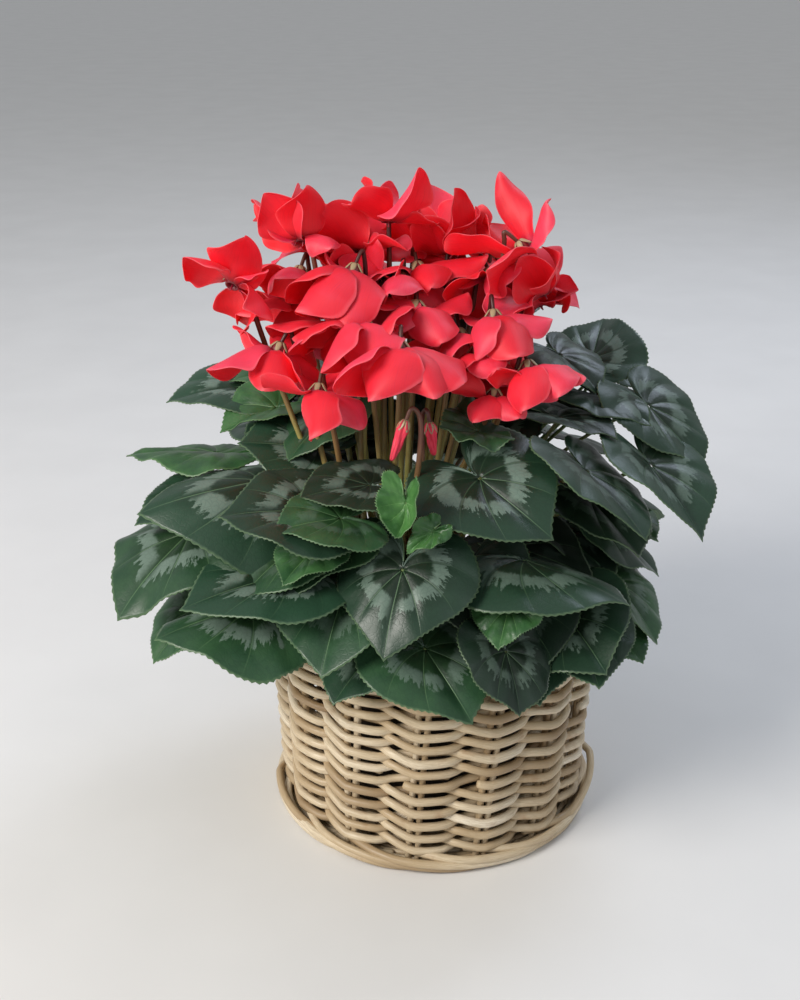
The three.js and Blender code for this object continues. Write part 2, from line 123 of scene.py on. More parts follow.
def add_rod(skin, path, radius, sides=8, ring=False, start=0.0, number=0, **marks):
    """Sweeps a round section along a path.  The first UV map runs round and along it, in
    metres from start on; the second gives the shares of both."""
    path = np.asarray(path, float)
    count = len(path)
    radius = np.broadcast_to(np.asarray(radius, float), count).copy()
    if ring:
        tangents = unit(np.roll(path, -1, 0) - np.roll(path, 1, 0))
        normals = np.broadcast_to((0.0, 0.0, 1.0), path.shape)
        normals = unit(normals - tangents * (normals * tangents).sum(-1, keepdims=True))
    else:
        tangents = unit(np.gradient(path, axis=0))
        side = np.eye(3)[np.argmin(np.abs(tangents[0]))]
        normals = np.empty_like(path)
        for k in range(count):
            side = side - tangents[k] * side.dot(tangents[k])
            side = side / np.linalg.norm(side)
            normals[k] = side
        # a smaller ring just beyond each end rounds it off
        kept = [0, *range(count), -1]
        path, normals, tangents, radius = path[kept], normals[kept], tangents[kept], radius[kept]
        path[0] -= tangents[0] * radius[0] * 0.45
        path[-1] += tangents[-1] * radius[-1] * 0.45
        radius[[0, -1]] *= 0.72
        count += 2
    binormals = np.cross(tangents, normals)
    turn = np.linspace(0, 2 * np.pi, sides, endpoint=False)[None, :, None]
    spokes = np.cos(turn) * normals[:, None] + np.sin(turn) * binormals[:, None]
    points = (path[:, None] + radius[:, None, None] * spokes).reshape(-1, 3)
    steps = np.linalg.norm(np.diff(path, axis=0, append=path[:1]), axis=1)
    along = np.concatenate([[0], np.cumsum(steps)]) * MM
    girth = 2 * math.pi * radius.mean() * MM
    spans = count if ring else count - 1
    faces, metres, shares = [], [], []
    for k in range(spans):
        for j in range(sides):
            corners = ((j, k), (j + 1, k), (j + 1, k + 1), (j, k + 1))
            faces.append([b % count * sides + a % sides for a, b in corners])
            metres += [(a / sides * girth, start + along[b]) for a, b in corners]
            shares += [(a / sides, along[b] / along[spans]) for a, b in corners]
    if not ring:
        for k, order in ((0, 1), (count - 1, -1)):
            points = np.concatenate([points, path[k:k + 1]])
            for j in range(sides):
                face = (len(points) - 1, k * sides + (j + 1) % sides, k * sides + j)
                faces.append(face[::order])
                metres += [(j / sides * girth, start + along[min(k, count - 2)])] * 3
                shares += [(j / sides, float(k > 0))] * 3
    skin.add(points, faces, metres, shares, number, **marks)


def linear(colour):
    """The linear values of an sRGB hex colour."""
    channels = [int(colour[k:k + 2], 16) / 255 for k in (1, 3, 5)]
    return [c / 12.92 if c <= 0.04045 else ((c + 0.055) / 1.055) ** 2.4 for c in channels] + [1]


def set_sockets(node, sockets):
    """Sets each socket to a number or hex colour, or links it to an output, or to the first
    output of a node."""
    for name, value in sockets.items():
        if isinstance(value, bpy.types.Node):
            value = next(output for output in value.outputs if output.enabled)
        if isinstance(value, bpy.types.NodeSocket):
            node.id_data.links.new(value, node.inputs[name])
        else:
            node.inputs[name].default_value = linear(value) if isinstance(value, str) else value


def add_node(tree, kind, *inputs, **named):
    """Adds a shader node.  Its sockets are given in their order or by capitalised names, and
    its settings by lower-case names.  A Mix is of colours unless data_type says otherwise."""
    made = tree.nodes.new("ShaderNode" + kind)
    if kind == "Mix":
        made.data_type = "RGBA"
    sockets = dict(enumerate(inputs))
    for name, value in named.items():
        if name[0].isupper():
            sockets[name.replace("_", " ")] = value
        elif name == "stops":
            ramp = made.color_ramp
            while len(ramp.elements) < len(value):
                ramp.elements.new(0.5)
            for stop, (place, colour) in zip(ramp.elements, value):
                stop.position, stop.color = place, linear(colour)
        else:
            setattr(made, name, value)
    set_sockets(made, sockets)
    return made


def start_material(name):
    """A new material, the function that adds its nodes, and its shader."""
    material = bpy.data.materials.new(name)
    material.use_nodes = True
    tree = material.node_tree
    return material, partial(add_node, tree), tree.nodes["Principled BSDF"]


# Peeled cane, boiled and woven wet: a pale straw skin with fine fibres along the rod, each rod
# lighter or browner than the next, tan stains at the joints, and a soft waxy shine.
def make_peeled_cane():
    cane, add, shader = start_material("peeled_cane")
    place = add("UVMap", uv_map="first")
    rod = add("Mapping", place, Scale=(0, 1, 1))
    rod_tone = add("TexNoise", rod, Scale=5.0, Detail=2.0)
    lengthwise = add("Mapping", place, Scale=(1, 0.06, 1))
    fibres = add("TexNoise", lengthwise, Scale=1900.0, Detail=3.0, Roughness=0.6)
    stains = add("TexNoise", place, Scale=34.0, Detail=4.0, Roughness=0.6)
    base = add("ValToRGB", rod_tone, stops=[
        (0.33, "#92795a"), (0.44, "#bca684"), (0.54, "#d6c5a7"), (0.66, "#ece0c9")])
    fibre_share = add("MapRange", fibres, 0.38, 0.72, 0, 0.6)
    fibred = add("Mix", Factor=fibre_share, A=base, B="#a08763")
    stain_share = add("MapRange", stains, 0.60, 0.74, 0, 0.6)
    stained = add("Mix", Factor=stain_share, A=fibred, B="#94683f")
    polish = add("MapRange", fibres, 0.3, 0.7, 0.34, 0.52)
    relief = add("Bump", Height=fibres, Strength=0.35, Distance=0.0004)
    set_sockets(shader, {
        "Base Color": stained, "Roughness": polish, "Normal": relief, "IOR": 1.5})
    return cane


peeled_cane = make_peeled_cane()


def add_base():
    skin = Skin()
    for k in range(PAIRS):
        reach = np.linspace(8, BASE_RADIUS + 8, 14)
        stick = compass(FIRST_PAIR + PAIR_STEP * k, reach, 2.9)
        add_rod(skin, stick, STICK_RADIUS, 6, start=0.31 * k)
    count = 8 * PAIRS
    headings = FIRST_PAIR + np.arange(count) * 360 / count
    for k, radius in enumerate(np.arange(10, BASE_RADIUS + 10, COIL_STEP)):
        over = np.cos(np.radians((headings - FIRST_PAIR) * PAIRS / 2) + math.pi * k)
        coil = compass(headings, radius, 2.95 + 0.75 * over)
        add_rod(skin, coil, COIL_RADIUS, 6, True, start=0.47 * k + 3)
    skin.piece("basket_base_round", [peeled_cane], "basket_cane", "basket_base")


add_base()

# ---- basket wall ----------------------------------------------------------------
# Pairs of thin upright stakes, and rows of two thick rods that pass one before and one behind
# each pair and cross between the pairs, the way a rope is laid.  All are pushed home while damp.

ROD_RADIUS = 2.95
STAKE_RADIUS = 2.3
STAKE_SPACING = 6.6
WALL_HEIGHTS = 11.3, 148.7
WALL_RADII = 110, 116
FIRST_ROW, ROW_STEP, ROWS = 16.2, 10.4, 13
STAKE_LEAN = 0.028  # degrees round the basket for each millimetre up


def stake_ring(height):
    """Radius of the ring on which the stakes stand."""
    outside = np.interp(height, WALL_HEIGHTS, WALL_RADII)
    return outside + 1.5 - 2 * ROD_RADIUS - STAKE_RADIUS


def pair_heading(place, height):
    return FIRST_PAIR + PAIR_STEP * place + STAKE_LEAN * (height - 60)


def flattened(place, radius):
    """The wall runs nearly straight from one pair to the next."""
    off = (place % 1) - 0.5
    chord = math.cos(math.pi / PAIRS) / np.cos(off * 2 * math.pi / PAIRS)
    return radius * (0.35 + 0.65 * chord)


def add_stakes():
    skin = Skin()
    luck = random.Random(4)
    heights = np.linspace(4, 154, 26)
    for k in range(PAIRS):
        for side in (-0.5, 0.5):
            sway = luck.uniform(-0.8, 0.8)
            turn = side * STAKE_SPACING / 108 * 57.3 + 0.4 * np.sin(heights / 31 + sway * 5)
            path = compass(pair_heading(k, heights) + turn, stake_ring(heights) + sway * 0.4,
                           heights)
            thickness = STAKE_RADIUS * luck.uniform(0.9, 1.08)
            add_rod(skin, path, thickness, 8, start=luck.uniform(0, 40))
    skin.piece("basket_stakes", [peeled_cane], "basket_cane")


# Where a rod ends and the next one starts: the pair, by row and strand.
JOINTS = {(5, 0): 0, (10, 1): -1, (11, 0): -2, (5, 1): 1, (7, 1): 3,
          (2, 1): 5, (9, 0): 6, (4, 0): 8, (8, 0): 10, (3, 1): 11}


def add_weavers():
    skin = Skin()
    luck = random.Random(11)
    steps = 12
    places = np.arange(PAIRS * steps) / steps
    around = places * 2 * math.pi / PAIRS
    for row in range(ROWS):
        phases = [luck.uniform(0, 6.3) for _ in range(3)]
        level = FIRST_ROW + ROW_STEP * row
        wobble = 0.5 * np.sin(around * 3 + phases[0]) + 0.35 * np.sin(around * 8 + phases[1])
        for strand in (0, 1):
            swing = np.cos(math.pi * (places + strand))
            swing = np.sign(swing) * np.abs(swing) ** 0.55
            # 0 where the rod comes to the outside, 1 where it leaves it
            lap = (places + strand + 0.5) % 2
            fall = np.interp(lap, (0, 0.16, 0.44, 1.0, 2.0), (1.0, 0.72, -0.55, -1.0, 1.0))
            height = level + wobble + 1.02 * ROD_RADIUS * fall
            depth = swing * (ROD_RADIUS + STAKE_RADIUS)
            radius = flattened(places, stake_ring(level)) + depth + 0.3 * np.sin(
                4 * around + phases[2])
            path = compass(pair_heading(places, height), radius, height)
            girth = ROD_RADIUS * (
                luck.uniform(0.93, 1.04) + 0.05 * np.sin(3 * around + 5 * phases[2]))
            whole = (row, strand) not in JOINTS
            if whole:
                # its ends meet at the back, inside a pair of stakes
                shift = -(7 + strand) * steps
            else:
                # the old rod stops behind the wall and the new one starts on the stakes
                shift = 2 - JOINTS[row, strand] % PAIRS * steps
            path, girth = np.roll(path, shift, 0), np.roll(girth, shift)
            if not whole:
                path, girth = path[:-4], girth[:-4]
            add_rod(skin, path, girth, 9, whole, start=luck.uniform(0, 60))
    skin.piece("basket_weave", [peeled_cane], "basket_cane", "basket_wall")


add_stakes()
add_weavers()

# ---- basket foot and rim borders ------------------------------------------------
# The ends of the stakes are laid down over one another round the basket, so that each rod runs
# slantwise over the next three before it is tucked in.  A few stand off in open loops.

BORDER_ROD_RADIUS = 2.9
LOOP_ROD_RADIUS = 2.7
# Along each border rod: (pairs past its own pair, radius, height).
FOOT_BORDER = [(-0.3, 102, 12), (0.1, 107.5, 11), (0.6, 112.6, 9.6), (1.2, 114, 8),
               (2.0, 114, 5.2), (2.7, 112.5, 3.2), (3.2, 108, 3.0), (3.6, 102, 3.1)]
RIM_BORDER = [(-0.3, 105, 147), (0.1, 109, 148.5), (0.6, 114.4, 150.4), (1.2, 116, 152.4),
              (2.0, 115, 155.4), (2.7, 111, 156.6), (3.2, 108, 154.6), (3.6, 106, 151)]
# Loops at the foot: (heading of the top, heading of the foot, height of the top, how far the
# middle stands off).
LOOPS = [(88, 56, 34, 5), (-90, -46, 16, 3.5), (168, 136, 36, 4), (-142, -112, 30, 4)]


def smooth(values, places, levels):
    """Runs a smooth curve through the given levels."""
    places, levels = np.asarray(places, float), np.asarray(levels, float)
    slopes = np.gradient(levels, places)
    k = np.clip(np.searchsorted(places, values) - 1, 0, len(places) - 2)
    width = places[k + 1] - places[k]
    t = (values - places[k]) / width
    return ((2 * t**3 - 3 * t**2 + 1) * levels[k] + (t**3 - 2 * t**2 + t) * width * slopes[k]
            + (3 * t**2 - 2 * t**3) * levels[k + 1] + (t**3 - t**2) * width * slopes[k + 1])


def lay_border(stations, seed):
    skin = Skin()
    luck = random.Random(seed)
    ahead, radii, heights = np.array(stations, float).T
    fine = np.linspace(ahead[0], ahead[-1], 46)
    for k in range(PAIRS):
        drift = luck.uniform(-0.5, 0.5)
        radius = smooth(fine, ahead, radii) + drift + 0.5 * np.sin(fine * 2.1 + k)
        height = smooth(fine, ahead, heights) + 0.5 * np.cos(fine * 1.7 + 2 * k)
        path = compass(FIRST_PAIR + PAIR_STEP * (k + fine), radius, height)
        thickness = BORDER_ROD_RADIUS * luck.uniform(0.9, 1.08)
        add_rod(skin, path, thickness, 9, start=luck.uniform(0, 60))
    return skin


def add_loops(skin):
    share = np.linspace(0, 1, 40)
    for top_heading, low_heading, top, stand in LOOPS:
        height = top + (7 - top) * share**1.25
        heading = top_heading + (low_heading - top_heading) * share
        bulge = stand * np.sin(math.pi * np.clip(share * 1.05, 0, 1)) ** 0.8
        radius = stake_ring(np.maximum(height, 14)) + 2 + 7.0 * np.minimum(1, share * 6) + bulge
        path = compass(heading, radius, height)
        add_rod(skin, path, LOOP_ROD_RADIUS, 9, start=share[1] * 400 + top)


foot = lay_border(FOOT_BORDER, 21)
add_loops(foot)
foot.piece("basket_foot_border", [peeled_cane], "basket_cane", "basket_foot")
lay_border(RIM_BORDER, 22).piece("basket_rim_border", [peeled_cane], "basket_cane", "basket_rim")

# ---- nursery pot, soil and tuber ------------------------------------------------
# Inside the basket stands the moulded plastic pot in which the plant grew, filled with moist
# peat.  The corky tuber sits half out of it and carries every stalk.

POT_PROFILE = [(0, 6.3), (68, 6.3), (68.6, 8), (92.2, 138.3), (96, 138.6), (96, 147.6),
               (95.4, 148.3), (93, 148.3), (92.4, 147.6), (66.4, 7.9), (0, 7.9)]
SOIL_LEVEL = 143
TUBER_CUT = -6.0  # height of its flat underside, from the middle of the ball
CROWN = np.array((-28.0, 0.0, 124.0))  # middle of the ball whose top is the tuber's crown
CROWN_RADIUS = 38


def add_turned(skin, profile, sides, rise=None, number=0):
    """Turns a profile from the axis back to the axis; rise(x, y, z) lifts its points."""
    points, faces = [], []
    angles = np.linspace(0, 2 * math.pi, sides, endpoint=False)
    for radius, height in profile[1:-1]:
        points += [(radius * math.cos(a), radius * math.sin(a), height) for a in angles]
    points += [(0, 0, profile[0][1]), (0, 0, profile[-1][1])]
    last = len(profile) - 3
    for k in range(last):
        for j in range(sides):
            onward = (j + 1) % sides
            faces.append((k * sides + j, k * sides + onward,
                          (k + 1) * sides + onward, (k + 1) * sides + j))
    for j in range(sides):
        onward = (j + 1) % sides
        faces.append((len(points) - 2, onward, j))
        faces.append((len(points) - 1, last * sides + j, last * sides + onward))
    points = np.array(points, float)
    if rise:
        points[:, 2] += rise(*points.T)
    corners = [points[k, :2] * MM for face in faces for k in face]
    skin.add(points, faces, corners, corners, number)


# Black polypropylene, injection moulded with a fine matte texture: dark, dull and even.
def make_pot_plastic():
    plastic, add, shader = start_material("moulded_polypropylene")
    place = add("TexCoord").outputs["Object"]
    dust = add("TexNoise", place, Scale=60.0, Detail=5.0)
    tone = add("ValToRGB", dust, stops=[(0.4, "#26211e"), (0.7, "#3d3531")])
    grain = add("TexNoise", place, Scale=1400.0)
    relief = add("Bump", Height=grain, Strength=0.3, Distance=0.0002)
    set_sockets(shader, {"Base Color": tone, "Normal": relief, "Roughness": 0.55})
    return plastic


# Moist peat: dark brown crumbs of 2 to 6 mm with paler fibres, quite without shine.
def make_moist_peat():
    peat, add, shader = start_material("moist_peat")
    place = add("TexCoord").outputs["Object"]
    crumbs = add("TexVoronoi", place, Scale=260.0, Randomness=1.0)
    clods = add("TexNoise", place, Scale=120.0, Detail=6.0)
    mixed = add("Math", crumbs, clods, operation="MULTIPLY")
    tone = add("ValToRGB", mixed, stops=[
        (0.05, "#120d0a"), (0.25, "#2b211a"), (0.45, "#4a3828"), (0.6, "#6d5740")])
    relief = add("Bump", Height=mixed, Strength=1.0, Distance=0.003)
    set_sockets(shader, {"Base Color": tone, "Normal": relief, "Roughness": 0.95})
    return peat


# The tuber's skin is cork: brown, cracked and scaly.
def make_tuber_cork():
    cork, add, shader = start_material("tuber_cork")
    place = add("TexCoord").outputs["Object"]
    cracks = add("TexVoronoi", place, Scale=170.0, feature="DISTANCE_TO_EDGE")
    patches = add("TexNoise", place, Scale=90.0, Detail=5.0)
    tone = add("ValToRGB", patches, stops=[(0.3, "#3c2d22"), (0.5, "#644c39"), (0.7, "#8a7057")])
    relief = add("Bump", Height=cracks, Strength=0.8, Distance=0.002)
    set_sockets(shader, {"Base Color": tone, "Normal": relief, "Roughness": 0.85})
    return cork


def soil_clods(x, y, z):
    """Height of the clods on the soil's surface; 0 below it."""
    bumps = np.sin(x * 0.31 + 1.3 * np.sin(y * 0.23)) * np.sin(y * 0.37 + 1.1 * np.sin(x * 0.19))
    fine = np.sin(x * 1.1 + y * 0.7) * np.sin(y * 1.3 - x * 0.5)
    return np.where(z > SOIL_LEVEL - 1, 1.6 * bumps + 0.8 * fine - 1.5, 0)


def add_pot_and_soil():
    pot = Skin()
    add_turned(pot, POT_PROFILE, 72)
    pot.piece("pot_shell", [make_pot_plastic()], "pot_plastic", "nursery_pot")
    soil = Skin()
    surface = [(0, 9), (60, SOIL_LEVEL - 3), (88, SOIL_LEVEL - 3)]
    surface += [(radius, SOIL_LEVEL) for radius in (*np.linspace(90, 1, 30), 0)]
    add_turned(soil, surface, 80, soil_clods)
    soil.piece("peat_fill", [make_moist_peat()], "peat", "soil")
    tuber = Skin()
    outline = [
        (CROWN_RADIUS * math.sin(a) * (1 if a < 1.6 else 0.94),
         max(TUBER_CUT, CROWN_RADIUS * math.cos(a))) for a in np.radians(np.linspace(158, 0, 26))]
    add_turned(tuber, [(0, TUBER_CUT)] + outline[:-1] + [(0, CROWN_RADIUS)], 40)
    x, y, z = tuber.points[0].T
    push = 1 + 0.012 * np.sin(x * 0.5) * np.sin(y * 0.6 + z * 0.4) - 0.01
    tuber.points[0] = tuber.points[0] * push[:, None] + CROWN
    tuber.piece("tuber_ball", [make_tuber_cork()], "tuber_cork", "tuber")


add_pot_and_soil()

# ---- leaves ---------------------------------------------------------------------
# Leathery heart-shaped leaves on fleshy stalks that spring from the tuber's crown.  Each grows
# with a silver band, jagged on its outer side, between a dark heart and a blue-green margin.

CROWN_RINGS = (6, 17, 27, 37, 47)  # how far each ring of stalks leans from upright
BLADE_THICKNESS = 0.6
TOOTH_DEPTH = 0.5
# How far a blade's outline reaches from the end of the stalk, by the angle from its tip.
HEART_ANGLES = (0, 6, 14, 26, 45, 65, 90, 112, 132, 150, 163, 170, 174)
HEART_REACH = np.array((
    1, 0.915, 0.84, 0.775, 0.735, 0.755, 0.80, 0.80, 0.745, 0.61, 0.40, 0.20, 0.10))
ROUND_REACH = np.array((
    1, 0.96, 0.93, 0.89, 0.86, 0.84, 0.83, 0.80, 0.75, 0.64, 0.45, 0.22, 0.10))
VEIN_ANGLES = (0, 40, 86, 134, 182, 230)

# at: end of the stalk.  aim, dip and roll: heading of the tip, its fall below level, and the
# left edge's rise.  ring and turn: where the stalk stands on the crown.  silver, youth and dark:
# how strong the band is, how young and bright the leaf, and how dark, where dark is partly the
# leaf's own deeper green and partly painted shade on leaves that lie in the shadows.  shape:
# what differs from USUAL_SHAPE.
Leaf = namedtuple(
    "Leaf", "at aim dip roll length ring turn silver youth dark shape", defaults=[{}])
# width: of the length.  round: from a heart to a round outline.  fold: rise on both sides of the
# midrib.  dome and arch: bow across and along.  wave: swing of the edge, in mm.
USUAL_SHAPE = dict(width=1, round=0.32, fold=0.3, dome=0.36, arch=0.16, wave=1.0)
LEAVES = [
    ((-23, -113, 230), -20, 46, 0, 56, 5, -2, 0.8, 0, 0.3,
     dict(fold=0.1, dome=0.5, wave=0.8, round=0.2)),
    ((25, -72, 273), 50, 27, 19, 61, 3, -4, 1.1, 0, 0.3),
    ((-116, -41, 258), -74, 10, -17, 79, 5, 2, 1.1, 0, 0, dict(width=0.92, fold=-0.2, dome=0.6)),
    ((-81, -84, 256), -83, 0, -14, 56, 5, 4, 0.8, 0, 0.4),
    ((-154, 34, 248), -91, 6, 14, 64, 5, 13, 0.3, 0.5, 0, dict(wave=2.2, dome=0.5)),
    ((-134, 72, 285), -79, 8, -4, 60, 2, 10, 1.0, 0, 0),
    ((-88, 45, 271), -66, 16, -2, 55, 4, -4, 1.1, 0, 0),
    ((-164, -36, 219), -44, 30, 4, 74, 5, 0, 1.0, 0.12, 0, dict(wave=3.0, dome=0.6)),
    ((-99, -83, 211), -65, 8, -4, 68, 5, 21, 1.0, 0, 0),
    ((-121, -83, 189), -66, 10, -1, 62, 5, -4, 1.0, 0.16, 0,
     dict(round=0.6, wave=1.6, fold=-0.1, dome=0.5)),
    ((-160, -58, 173), -48, 39, 8, 45, 4, 23, 0.3, 0.3, 0),
    ((-44, -69, 267), -73, 3, -6, 46, 4, -8, 0.8, 0, 0.5),
    ((-61, -95, 256), -67, 0, -12, 43, 5, 9, 0.3, 0.3, 0),
    ((-79, -97, 235), -37, 23, 2, 31, 5, -10, 0.2, 0.45, 0),
    ((-9, -118, 178), 33, 30, 4, 56, 5, 0, 0.7, 0.15, 0, dict(round=0.7)),
    ((41, -120, 177), 16, 41, -20, 42, 4, 0, 0.5, 0, 0.5, dict(round=0.7)),
    ((54, -84, 222), 63, 12, -9, 72, 3, -3, 0.6, 0, 0.2, dict(width=0.86, fold=-0.1, dome=0.5)),
    ((42, -115, 205), -17, 40, 4, 28, 5, 13, 0.1, 0.5, 0),
    ((84, -76, 177), 24, 13, 27, 56, 5, 3, 0.8, 0, 0.3),
    ((124, -19, 174), 40, 39, -20, 52, 5, -9, 0.5, 0.2, 0),
    ((116, 95, 299), 160, -22, -7, 49, 3, 14, 1.0, 0, 0),
    ((133, 116, 290), 124, 17, 20, 43, 4, -3, 0.6, 0, 0),
    ((87, 57, 313), 44, 26, -5, 43, 4, -4, 0.4, 0, 0.4),
    ((113, 42, 288), 52, 16, 0, 45, 3, -12, 0.5, 0, 0.4, dict(width=0.88)),
    ((84, 14, 282), 54, 7, -8, 46, 5, 0, 0.7, 0, 0.7, dict(width=0.85)),
    ((149, 40, 281), 48, 38, 1, 60, 4, 2, 0.6, 0, 0.2, dict(width=0.85)),
    ((144, -9, 256), 36, 35, -11, 63, 4, 0, 0.6, 0, 0.2, dict(width=0.86, fold=0.45)),
    ((95, -45, 267), 42, 32, -21, 60, 4, 2, 0.4, 0, 0.3),
    ((-104, 103, 246), -137, 19, 1, 66, 4, 22, 0.9, 0, 0),
    ((-47, 124, 266), -158, 25, 1, 68, 4, 0, 1.0, 0, 0),
    ((25, 121, 261), 170, 22, 0, 66, 5, 3, 0.9, 0, 0),
    ((87, 110, 235), 136, 27, 2, 64, 5, 14, 0.9, 0, 0.2),
    ((-138, 76, 210), -117, 35, 0, 64, 5, 2, 0.7, 0, 0.2),
    ((-10, 125, 200), 180, 45, 0, 64, 5, 0, 0.8, 0, 0),
    ((128, 65, 212), 115, 40, 0, 62, 5, 0, 0.8, 0, 0),
]
# Leaves that fill the plant between and under the others.  The high dark values of those deep
# inside paint shade on them.
MORE_LEAVES = [
    ((-80, -5, 266), -84, -8, -22, 54, 4, 4, 1.4, 0, 0, dict(dome=0.5)),
    ((-110, 28, 284), -74, 19, -5, 42, 3, 0, 0.1, 0.5, 0, dict(fold=0.6)),
    ((-72, 5, 289), -44, 33, 6, 46, 3, 0, 1.2, 0.15, 0),
    ((-157, -10, 231), -60, 8, -7, 50, 4, 0, 0.6, 0, 0),
    ((114, -40, 149), 41, 16, 0, 38, 5, 0, 0.3, 0.3, 0),
    ((124, 10, 211), 43, 8, -6, 42, 4, 0, 0.2, 0.4, 0),
    ((52, 105, 326), -86, 12, -3, 52, 2, 0, 0.9, 0, 0.3),
    ((42, 118, 336), 164, 10, -6, 40, 2, 0, 0.7, 0, 0),
    ((25, -42, 293), -58, -6, -17, 31, 2, 0, 0.3, 0.25, 0, dict(wave=3.0, fold=0.6)),
    ((-85, 70, 296), -45, -4, -10, 44, 3, 0, 0.8, 0, 0),
    ((-104, 88, 292), -75, 6, -7, 46, 3, 0, 0.3, 0.4, 0),
    ((-59, -98, 208), -17, 34, 4, 60, 5, 0, 0.4, 0.1, 0.15, dict(round=0.5)),
    ((-40, -100, 167), -44, 30, 3, 46, 5, -6, 0.8, 0, 0),
    ((20, -80, 214), -4, 36, 8, 48, 4, 6, 0.1, 0, 0.8),
    ((48, -78, 183), 6, 36, 4, 54, 4, -8, 0.3, 0, 0.7, dict(round=0.6)),
    ((103, -20, 236), 34, 26, -12, 56, 4, 6, 0.6, 0, 0.5),
    ((50, -42, 212), 72, 18, 2, 58, 3, -12, 0.2, 0, 0.8, dict(dome=0.15)),
    ((78, 8, 206), 58, 30, -10, 66, 4, 4, 0.5, 0, 0.6, dict(dome=0.15)),
    ((84, 0, 252), 58, 20, -10, 52, 3, 10, 0.5, 0, 0.6),
    ((-69, -75, 230), -34, 24, 8, 48, 4, -8, 0.2, 0.2, 0.3),
    ((-92, -72, 226), -52, 30, 4, 56, 4, 10, 0.3, 0.2, 0),
    ((92, -82, 170), 14, 28, 10, 44, 5, -12, 0.4, 0, 0.4),
    ((62, -78, 160), 8, 34, 14, 46, 5, 12, 0.6, 0, 0.2),
    ((75, 60, 282), 48, 11, -2, 46, 3, 12, 0.5, 0, 0.3),
    ((8, -82, 185), -22, 42, 8, 44, 5, -8, 0.3, 0, 0.8),
    ((-21, -107, 272), -24, 42, 6, 22, 4, 10, 0.0, 0.9, 0,
     dict(width=0.78, fold=0.1, dome=-1.3, wave=2.0, arch=-0.8, round=1.0)),
    ((-5, -112, 255), -66, 32, -36, 20, 4, -12, 0.0, 0.7, 0, dict(width=0.62, fold=0.6, wave=2.2)),
    ((-150, 10, 205), -80, 30, 0, 58, 5, 14, 0.6, 0, 0),
    ((-115, 40, 225), -100, 30, 0, 60, 4, -14, 0.6, 0, 0.4),
    ((-80, 110, 215), -150, 40, 0, 60, 5, 12, 0.7, 0, 0),
    ((50, 122, 215), 160, 42, 0, 60, 5, -10, 0.8, 0, 0.2),
    ((120, 25, 195), 85, 42, 0, 56, 5, 10, 0.7, 0, 0.3),
    ((-60, 70, 285), -160, 15, 0, 54, 3, 16, 0.9, 0, 0),
    ((10, 85, 290), 175, 18, 0, 54, 3, -14, 0.8, 0, 0.2),
    ((60, 80, 272), 140, 20, 0, 56, 3, -16, 0.8, 0, 0),
    ((-42, 62, 252), -150, -34, 0, 46, 2, -8, 0.4, 0, 0.8),
    ((2, 66, 256), 172, -30, 0, 48, 2, 10, 0.5, 0, 0.7),
    ((-68, 52, 262), -120, -20, 0, 44, 3, 12, 0.4, 0, 0.8),
    ((44, 56, 262), 140, -32, 0, 46, 3, -8, 0.5, 0, 0.6),
    ((40, 58, 338), 130, -24, 12, 36, 2, -10, 0.6, 0, 0.5),
    ((-145, 45, 180), -95, 52, 0, 50, 5, -10, 0.4, 0.2, 0),
]


def add_sheet(skin, grid, thickness, first, second, numbers, **marks):
    """Closes a grid of points into a thin sheet, with a UV pair of each map for every point.
    numbers: the materials of its upper face, lower face and rim, where the upper face is the
    one towards first axis x second axis."""
    rows, columns = grid.shape[:2]
    normal = unit(np.cross(np.gradient(grid, axis=0), np.gradient(grid, axis=1)))
    half = normal * np.broadcast_to(thickness, (rows, columns))[..., None] / 2
    count = rows * columns
    points = np.concatenate([(grid + half).reshape(-1, 3), (grid - half).reshape(-1, 3)])
    index = np.arange(count).reshape(rows, columns)
    upper = np.stack(
        [index[:-1, :-1], index[1:, :-1], index[1:, 1:], index[:-1, 1:]], -1).reshape(-1, 4)
    loop = np.concatenate([index[0, :-1], index[:-1, -1], index[-1, :0:-1], index[:0:-1, 0]])
    onward = np.roll(loop, -1)
    rim = np.stack([loop, onward, onward + count, loop + count], -1)
    faces = np.concatenate([upper, upper[:, ::-1] + count, rim])
    chosen = np.repeat(numbers, (len(upper), len(upper), len(rim)))
    corners = faces.ravel() % count
    skin.add(points, faces, first.reshape(-1, 2)[corners], second.reshape(-1, 2)[corners],
             chosen, **marks)


def leaf_frame(leaf):
    """The leaf's origin and its axes: along to the tip, across to its left, and up."""
    turned = (Matrix.Rotation(math.radians(leaf.aim - 90), 3, "Z")
              @ Matrix.Rotation(math.radians(leaf.dip), 3, "Y")
              @ Matrix.Rotation(math.radians(leaf.roll), 3, "X"))
    return np.array(leaf.at, float), np.array(turned).T


def crown_seat(target, turn, ring):
    """Where the stalk of a leaf or flower leaves the crown, and its direction there."""
    out = target - CROWN
    heading = math.degrees(math.atan2(out[0], -out[1])) + turn
    lean = math.radians(CROWN_RINGS[ring - 1])
    direction = compass(heading, math.sin(lean), math.cos(lean))
    return CROWN + direction * (CROWN_RADIUS - 0.6), direction


